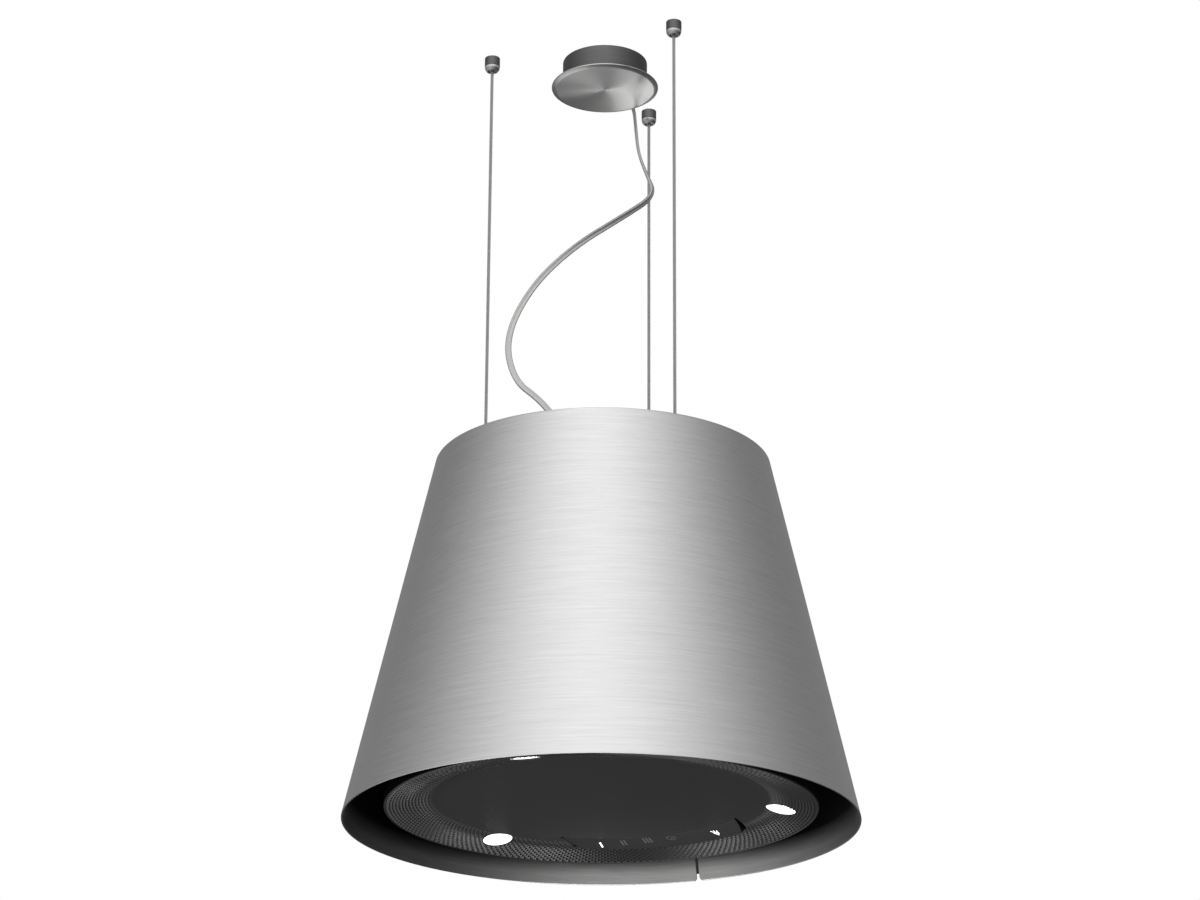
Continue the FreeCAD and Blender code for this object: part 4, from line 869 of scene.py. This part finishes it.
def make_lenses():
    """Three lit diffusers: a slightly domed face inside a raised edge."""
    outline = in_metres([(0, 0.05), (5.0, 0.08), (9.5, 0.17), (12.6, 0.36), (13.3, 0.5), (13.7, 0.2),
                         (14.2, 0.12), (LAMP_LENS_R, 0.35), (LAMP_LENS_R, 2.6), (0, 2.6)])
    lenses = [revolved("lens", outline, 72, lamp_place(azimuth)) for azimuth in LAMP_AZIMUTHS]
    return joined("lamp_diffusers", lenses)


def print_mark(outline):
    """A printed mark on the window's sloping face, from an outline in millimetres."""
    mark = extruded("mark", in_metres(outline), -0.05 * MM, 0.12 * MM)
    for vertex in mark.data.vertices:
        vertex.co.z += level(window_height(vertex.co.xy.length / MM))
    return mark


def bar(x, y, width, height, turn=0.0):
    """A small rectangle centred on (x, y) and turned about it, for the symbols."""
    way, side = polar(width / 2, turn), polar(height / 2, turn + 90.0)
    return [(x + a * way.x + b * side.x, y + a * way.y + b * side.y)
            for a, b in ((-1, -1), (1, -1), (1, 1), (-1, 1))]


def ring_marks(radius, width, parts=20):
    """A circle round (0, 0) drawn as short bars that overlap a little."""
    length = 2 * math.pi * radius / parts * 1.08
    turns = [360.0 * k / parts for k in range(parts)]
    return [bar(*polar(radius, turn).xy, width, length, turn) for turn in turns]


SYMBOL_ARC_R = 372.0            # the symbols stand on a flat arc
SYMBOL_ARC_Y = 152.5
SPEED_X = (-64.2, -41.0, -15.9)
TIMER_X = 9.6
LAMP_KEY_X = 60.5


def symbol_at(x, marks):
    """Moves marks drawn about (0, 0), with +y away from the middle, to their place on the arc."""
    lean = math.asin(x / SYMBOL_ARC_R)
    y = SYMBOL_ARC_Y - SYMBOL_ARC_R * (1 - math.cos(lean))
    cos, sin = math.cos(lean), math.sin(lean)
    return [[(x + a * cos + b * sin, y - a * sin + b * cos) for a, b in outline] for outline in marks]


def make_symbols():
    """Generic touch symbols: one, two and three bars for the speeds, a clock and a lamp."""
    lit, unlit = [], []
    for count, x in enumerate(SPEED_X, 1):
        marks = [bar((k - (count - 1) / 2) * 3.4, 0, 1.7, 12.0) for k in range(count)]
        (lit if count == 1 else unlit).extend(symbol_at(x, marks))
    clock = ring_marks(4.4, 0.9) + [bar(0, 1.4, 0.9, 3.4), bar(1.3, 0, 2.8, 0.9)]
    unlit.extend(symbol_at(TIMER_X, clock))
    shade = [(-3.3, -1.6), (3.3, -1.6), (1.8, 3.0), (-1.8, 3.0)]
    rays = [bar(-2.9, -4.2, 1.0, 3.2, -25), bar(0, -4.5, 1.0, 3.4), bar(2.9, -4.2, 1.0, 3.2, 25)]
    lit.extend(symbol_at(LAMP_KEY_X, [shade, bar(0, 4.1, 1.0, 2.6)] + rays))
    for look, outlines in (("lit", lit), ("unlit", unlit)):
        piece = joined(f"symbols_{look}", [print_mark(outline) for outline in outlines])
        place(piece, "panel", look, "window_black")


# ---- the ceiling set ---------------------------------------------------------------------
def make_canopy():
    """The ceiling cup and the spun disc under it."""
    wall = 1.5
    cup_outline = [(3.2, -CUP_DEPTH, 0.2), (CUP_R, -CUP_DEPTH, 1.2), (CUP_R, 0, 0.2), (CUP_R - wall, 0, 0.2),
                   (CUP_R - wall, -CUP_DEPTH + wall, 0.8), (3.2, -CUP_DEPTH + wall, 0.2)]
    cup = revolved("canopy_shell", in_metres(rounded(cup_outline, 0.3)), 160)
    start = Vector(CORD_ROUTE[0])
    along = (Vector(CORD_ROUTE[1]) - start).normalized()
    turn = along.to_track_quat("Z", "Y").to_matrix().to_4x4()
    hole_outline = in_metres([(0, 20), (CUP_HOLE_R, 20), (CUP_HOLE_R, 60), (0, 60)])
    hole = revolved("hole", hole_outline, 40, Matrix.Translation(start - along * 0.02) @ turn)
    cut_by(cup, [hole])
    place(cup, "ceiling_set", "cup", "dark_steel", "canopy_cup")
    face = -DISC_FACE
    disc_outline = [(0, face, 0), (DISC_R - 4.5, face, 1.2), (DISC_R, face + 1.7, 1.0), (DISC_R, -27.2, 0.3),
                    (DISC_R - 1.2, -27.2, 0.3), (DISC_R - 1.4, face + 2.4, 0.5),
                    (DISC_R - 5.0, face + 1.2, 0.8), (9.0, face + 1.2, 0.3), (9.0, -CUP_DEPTH - 0.02, 0.2),
                    (3.1, -CUP_DEPTH - 0.02, 0.2), (3.1, face + 1.4, 0.2), (0, face + 1.4, 0)]
    disc = revolved("canopy_plate", in_metres(rounded(disc_outline, 0.3, 4)), 192)
    place(disc, "ceiling_set", "disc", "canopy_steel", "canopy_disc")


def make_anchors():
    """Three turned caps: a straight band, a rounded lip painted bright as a highlight, and a recess with the
    cable's nipple.
    """
    lip = ANCHOR_LENGTH
    outline = [(5.65, -0.6, 0.1), (ANCHOR_R, -0.6, 0.5), (ANCHOR_R, -10.2, 0.1),
               (ANCHOR_R - 0.25, -10.4, 0.0), (ANCHOR_R - 0.25, -10.7, 0.0),
               (ANCHOR_R, -10.9, 0.1), (ANCHOR_R - 0.5, -lip + 2.4, 2.4),
               (5.8, -lip, 1.4), (4.7, -lip, 0.4), (4.3, -lip + 2.6, 0.5), (3.1, -lip + 2.6, 0.4),
               (2.9, -lip + 0.6, 0.5), (2.3, -lip + 0.6, 0.2), (2.3, -11.5, 0.1), (5.65, -11.5, 0.1)]
    profile = in_metres(rounded(outline, 0.2, 6))
    caps = [revolved("cap", profile, 72, Matrix.Translation(polar(CABLE_RING_R, azimuth)), 50)
            for azimuth in CABLE_AZIMUTHS]
    anchors = joined("anchor_caps_turned", caps)
    place(anchors, "ceiling_set", "anchor", "dark_steel", "anchor_caps")
    # painted highlight: the faces below the lip's start get the bright steel
    paint_faces(anchors, "anchor_lip_painted_highlight", lambda polygon: polygon.center.z < -ANCHOR_LIP_H * MM)


CABLE_SWELL = 1.14              # the strands stand a little proud of the plain rod
CABLE_LAY = 19 * MM             # one turn of the strands


def make_cable(number):
    """A wire rope of six strands round a core."""
    node = f"suspension_cable_{number}"
    low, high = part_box(node)
    radius = (high.x - low.x) / 2 * CABLE_SWELL
    centre = (low + high) / 2
    strand_r = radius * 0.42
    per_turn = 12
    steps = int((high.z - low.z) / CABLE_LAY * per_turn)

    def rod(path, sides):
        return tube_along("strand", path, lambda k: circle(path[k], X_AXIS, Y_AXIS, strand_r, sides))

    strands = []
    for strand in range(6):
        strands.append(rod([Vector((centre.x, centre.y, low.z + (high.z - low.z) * k / steps))
                            + polar(radius - strand_r, 360.0 * (k / per_turn + strand / 6))
                            for k in range(steps + 1)], 5))
    strands.append(rod([Vector((centre.x, centre.y, z)) for z in (low.z, high.z)], 6))
    place(joined(f"wire_rope_{number}", strands), "ceiling_set", "cable", "cable_steel", node)


# ---- the power cord ----------------------------------------------------------------------
CORD_ROUTE = [
    (0.0028, 0.0399, -0.0091),
    (0.0046, 0.0658, -0.0175),
    (0.0055, 0.0695, -0.0450),
    (0.0065, 0.0740, -0.0710),
    (0.0125, 0.0795, -0.0920),
    (0.0217, 0.0860, -0.1180),
    (-0.0055, 0.0645, -0.1460),
    (-0.0465, 0.0255, -0.1905),
    (-0.0790, -0.0085, -0.2450),
    (-0.0950, -0.0330, -0.3080),
    (-0.0840, -0.0345, -0.3565),
    (-0.0585, -0.0255, -0.3785),
    (-0.0430, -0.0200, -0.4005),
    (-0.0150, 0.0000, -0.4260),
    (-0.0150, 0.0000, -0.4480),
]
CORD_WIDTH, CORD_THICKNESS, CORD_SIDES = 6.5 * MM, 3.9 * MM, 28


def cord_points():
    """The cord's centreline, read from the smooth curve that its route controls."""
    curve = bpy.data.curves.new("cord_line", "CURVE")
    curve.dimensions = "3D"
    curve.resolution_u = 14
    spline = curve.splines.new("NURBS")
    spline.points.add(len(CORD_ROUTE) - 1)
    for point, at in zip(spline.points, CORD_ROUTE):
        point.co = (*at, 1.0)
    spline.order_u = 3
    spline.use_endpoint_u = True
    mesh = bpy.data.meshes.new_from_object(bpy.data.objects.new("cord_line", curve))
    points = [v.co.copy() for v in mesh.vertices]
    bpy.data.meshes.remove(mesh)
    bpy.data.curves.remove(curve)           # and its object with it
    return points


def tangent_at(path, k):
    return (path[min(k + 1, len(path) - 1)] - path[max(k - 1, 0)]).normalized()


def twin_section(angle):
    """Outline of the flat twin lead: two round cores side by side with a shallow waist between them."""
    half = (CORD_WIDTH - CORD_THICKNESS) / 2
    round_r = CORD_THICKNESS / 2
    across = half * math.tanh(3 * math.cos(angle)) + round_r * math.cos(angle)
    waist = 1 - 0.45 * math.exp(-(math.cos(angle) / 0.34) ** 2)
    return across, round_r * math.sin(angle) * waist


def make_cord():
    """The flat power cord, which turns from edge-on at the ceiling to flat-on at the hood."""
    path = cord_points()
    facing = polar(1.0, -90 + CAMERA_AZIMUTH)
    section = [twin_section(2 * math.pi * s / CORD_SIDES) for s in range(CORD_SIDES)]

    def ring(k):
        tangent = tangent_at(path, k)
        side = tangent.cross(facing).normalized()
        depth = side.cross(tangent).normalized()
        turn = math.radians(90) * smooth_step((k / (len(path) - 1) - 0.1) / 0.6)
        wide = depth * math.cos(turn) + side * math.sin(turn)
        thin = tangent.cross(wide).normalized()
        return [path[k] + wide * a + thin * b for a, b in section]

    cord = tube_along("power_cord_flat", path, ring)
    sleeves = [make_boot("cord_boot_top", path, 0.006, 0.024),
               make_boot("cord_boot_low", path[::-1], 0.0005, 0.028)]
    paint(cord, "sheath")
    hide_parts("power_cord")
    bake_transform(cord)
    return cord, path, sleeves


def make_boot(name, points, near, far):
    """A tapered, grooved bend relief on the cord, between two distances from the first point."""
    samples = 16

    def at(distance):
        for a, b in zip(points, points[1:]):
            length = (b - a).length
            if distance <= length:
                return a.lerp(b, distance / length)
            distance -= length
        return points[-1]

    line = [at(near + (far - near) * k / samples) for k in range(samples + 1)]

    def ring(k):
        tangent = tangent_at(line, k)
        side = tangent.orthogonal().normalized()
        groove = 0.35 if k % 3 == 1 and 1 < k < samples - 1 else 0.0
        return circle(line[k], side, tangent.cross(side), (4.9 - 1.15 * k / samples - groove) * MM, 24)

    return tube_along(name, line, ring)


# ---- the grease filter -------------------------------------------------------------------
WIRE_PITCH, WIRE_R, WIRE_WAVE = 4.6 * MM, 0.42 * MM, 0.55 * MM


def make_mesh_pad():
    """Three layers of woven aluminium wire in the filter's frame, each turned against the last."""
    low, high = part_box("grease_filter_mesh")
    wires = []
    for layer, z in enumerate((low.z + 1.3 * MM, (low.z + high.z) / 2, high.z - 1.3 * MM)):
        wires.extend(woven_layer(high.x - 1.0 * MM, z, 20.0 + 30.0 * layer))
    return joined("filter_weave", wires)


def woven_layer(radius, z, turn):
    """Two crossing sets of waved wires that fill a circle."""
    count = int(radius // WIRE_PITCH)
    axes = polar(1.0, turn), polar(1.0, turn + 90.0)
    wires = []
    for direction, (way, side) in enumerate((axes, axes[::-1])):
        for k in range(-count, count + 1):
            offset = k * WIRE_PITCH
            reach = math.sqrt(max(radius ** 2 - offset ** 2, 0.0))
            if reach < 2 * WIRE_PITCH:
                continue
            steps = max(int(2 * reach / (WIRE_PITCH / 2)), 2)
            path = []
            for s in range(steps + 1):
                along = -reach + 2 * reach * s / steps
                lift = WIRE_WAVE * math.cos(math.pi * (along / WIRE_PITCH + k + direction))
                path.append(way * along + side * offset + Z_AXIS * (z + lift))
            wires.append(tube_along("wire", path, lambda s: circle(path[s], side, Z_AXIS, WIRE_R, 4)))
    return wires


# ---- camera, light and stage -------------------------------------------------------------
def make_camera():
    data = bpy.data.cameras.new("camera")
    data.lens = CAMERA_LENS
    data.sensor_width = 36.0
    data.clip_end = 100.0
    camera = in_scene("camera", data)
    camera.matrix_world = (Matrix.Translation(CAMERA_AT) @ rotation(CAMERA_AZIMUTH, "Z")
                           @ rotation(90 + CAMERA_PITCH, "X") @ rotation(CAMERA_ROLL, "Z"))
    bpy.context.scene.camera = camera


UPPER_LIGHT = 0.28              # from all round, above the horizon
LOWER_LIGHT = 0.05              # from all round, below it
FRONT_LIGHT = (-72.3, 2.55, 1.22)                # heading, how narrow, how bright
LOW_FRONT_LIGHT = (-108.0, 2.0, 0.5)
LOW_REAR_LIGHT = (131.0, -46.0, 60.0, 1.3)       # heading, elevation, how narrow, how bright


def make_world():
    """A white backdrop for the camera, and a soft studio that is brightest in front of the hood."""
    world = bpy.data.worlds.new("studio")
    world.use_nodes = True
    bpy.context.scene.world = world
    world.node_tree.nodes.clear()
    studio = Nodes(world.node_tree)
    node, sums = studio.node, studio.math

    def lobe(point, toward, focus, strength):
        cosine = node("VectorMath", {"operation": "DOT_PRODUCT"}, _0=point, _1=toward).outputs["Value"]
        return sums("MULTIPLY", sums("POWER", sums("MULTIPLY_ADD", cosine, 0.5, 0.5), focus), strength)

    ray = node("TexCoord").outputs["Generated"]
    flat = node("VectorMath", {"operation": "MULTIPLY"}, _0=ray, _1=(1, 1, 0)).outputs[0]
    heading = node("VectorMath", {"operation": "NORMALIZE"}, _0=flat).outputs[0]
    height = node("SeparateXYZ", _0=ray).outputs[2]
    up = node("MapRange", {"interpolation_type": "SMOOTHSTEP"}, _0=height, _1=-0.08, _2=0.16).outputs[0]
    light = 0.0
    for share, even, (azimuth, focus, strength) in (
            (up, UPPER_LIGHT, FRONT_LIGHT), (sums("SUBTRACT", 1.0, up), LOWER_LIGHT, LOW_FRONT_LIGHT)):
        level_light = sums("ADD", lobe(heading, polar(1.0, azimuth), focus, strength), even)
        light = sums("ADD", light, sums("MULTIPLY", level_light, share))
    azimuth, elevation, focus, strength = LOW_REAR_LIGHT
    tilt = math.radians(elevation)
    toward = polar(math.cos(tilt), azimuth, math.sin(tilt))
    light = sums("ADD", light, lobe(ray, toward, focus, strength))
    lit, seen = (node("Background", Color=(1, 1, 1, 1), Strength=power).outputs[0] for power in (light, 1.0))
    to_camera = node("LightPath").outputs["Is Camera Ray"]
    node("OutputWorld", _0=node("MixShader", _0=to_camera, _1=lit, _2=seen).outputs[0])


# Where it is, what it points at, size, power: one draws the fan on the disc, two the relief.
CANOPY_LIGHT = ((-0.077, 0.318, -0.192), (0.047, 0.024, -0.03), 0.09, 0.044)
RELIEF_LIGHT = ((0.06, -0.04, -1.75), (0.0, 0.02, -0.8), 0.4, 3.6)
SIDE_LIGHT = ((-0.42, -0.06, -1.7), (0.0, 0.1, -0.8), 0.35, 2.3)
FLOOR_Z, FLOOR_R = -6.0, 9.0


def soft_light(name, at, target, size, power):
    """A square light that shows in reflections but not to the camera."""
    data = bpy.data.lights.new(name, "AREA")
    data.energy = power
    data.size = size
    lamp = in_scene(name, data)
    turn = (Vector(target) - Vector(at)).to_track_quat("-Z", "Y").to_matrix().to_4x4()
    lamp.matrix_world = Matrix.Translation(at) @ turn
    lamp.visible_camera = False


def make_stage():
    low = FLOOR_Z - 0.05
    floor = revolved("floor", [(0, FLOOR_Z), (FLOOR_R, FLOOR_Z), (FLOOR_R, low), (0, low)], 96)
    floor.data.materials.append(pale_stage("pale_floor", (0.8, 0.8, 0.8)))
    floor.visible_diffuse = False
    floor.visible_glossy = False


def main():
    bpy.context.scene.view_settings.view_transform = "Standard"
    make_camera()
    cord, path, boots = make_cord()
    paint_cad_nodes()
    make_shell()
    place(make_panel(), "panel", "panel", "panel_black", "bottom_panel")
    place(make_lenses(), "panel", "lens", "lens_white", "lamp_lenses")
    make_window()
    make_symbols()
    make_canopy()
    make_anchors()
    for number in range(1, len(CABLE_AZIMUTHS) + 1):
        make_cable(number)
    place(make_mesh_pad(), "hood", "aluminium", "raw_aluminium", "grease_filter_mesh")
    place(boots[0], "ceiling_set", "rubber", "rubber_black")
    place(boots[1], "hood", "black_plastic", "black_plastic")
    make_world()
    soft_light("canopy_light", *CANOPY_LIGHT)
    soft_light("relief_light", *RELIEF_LIGHT)
    soft_light("side_light", *SIDE_LIGHT)
    make_stage()


main()
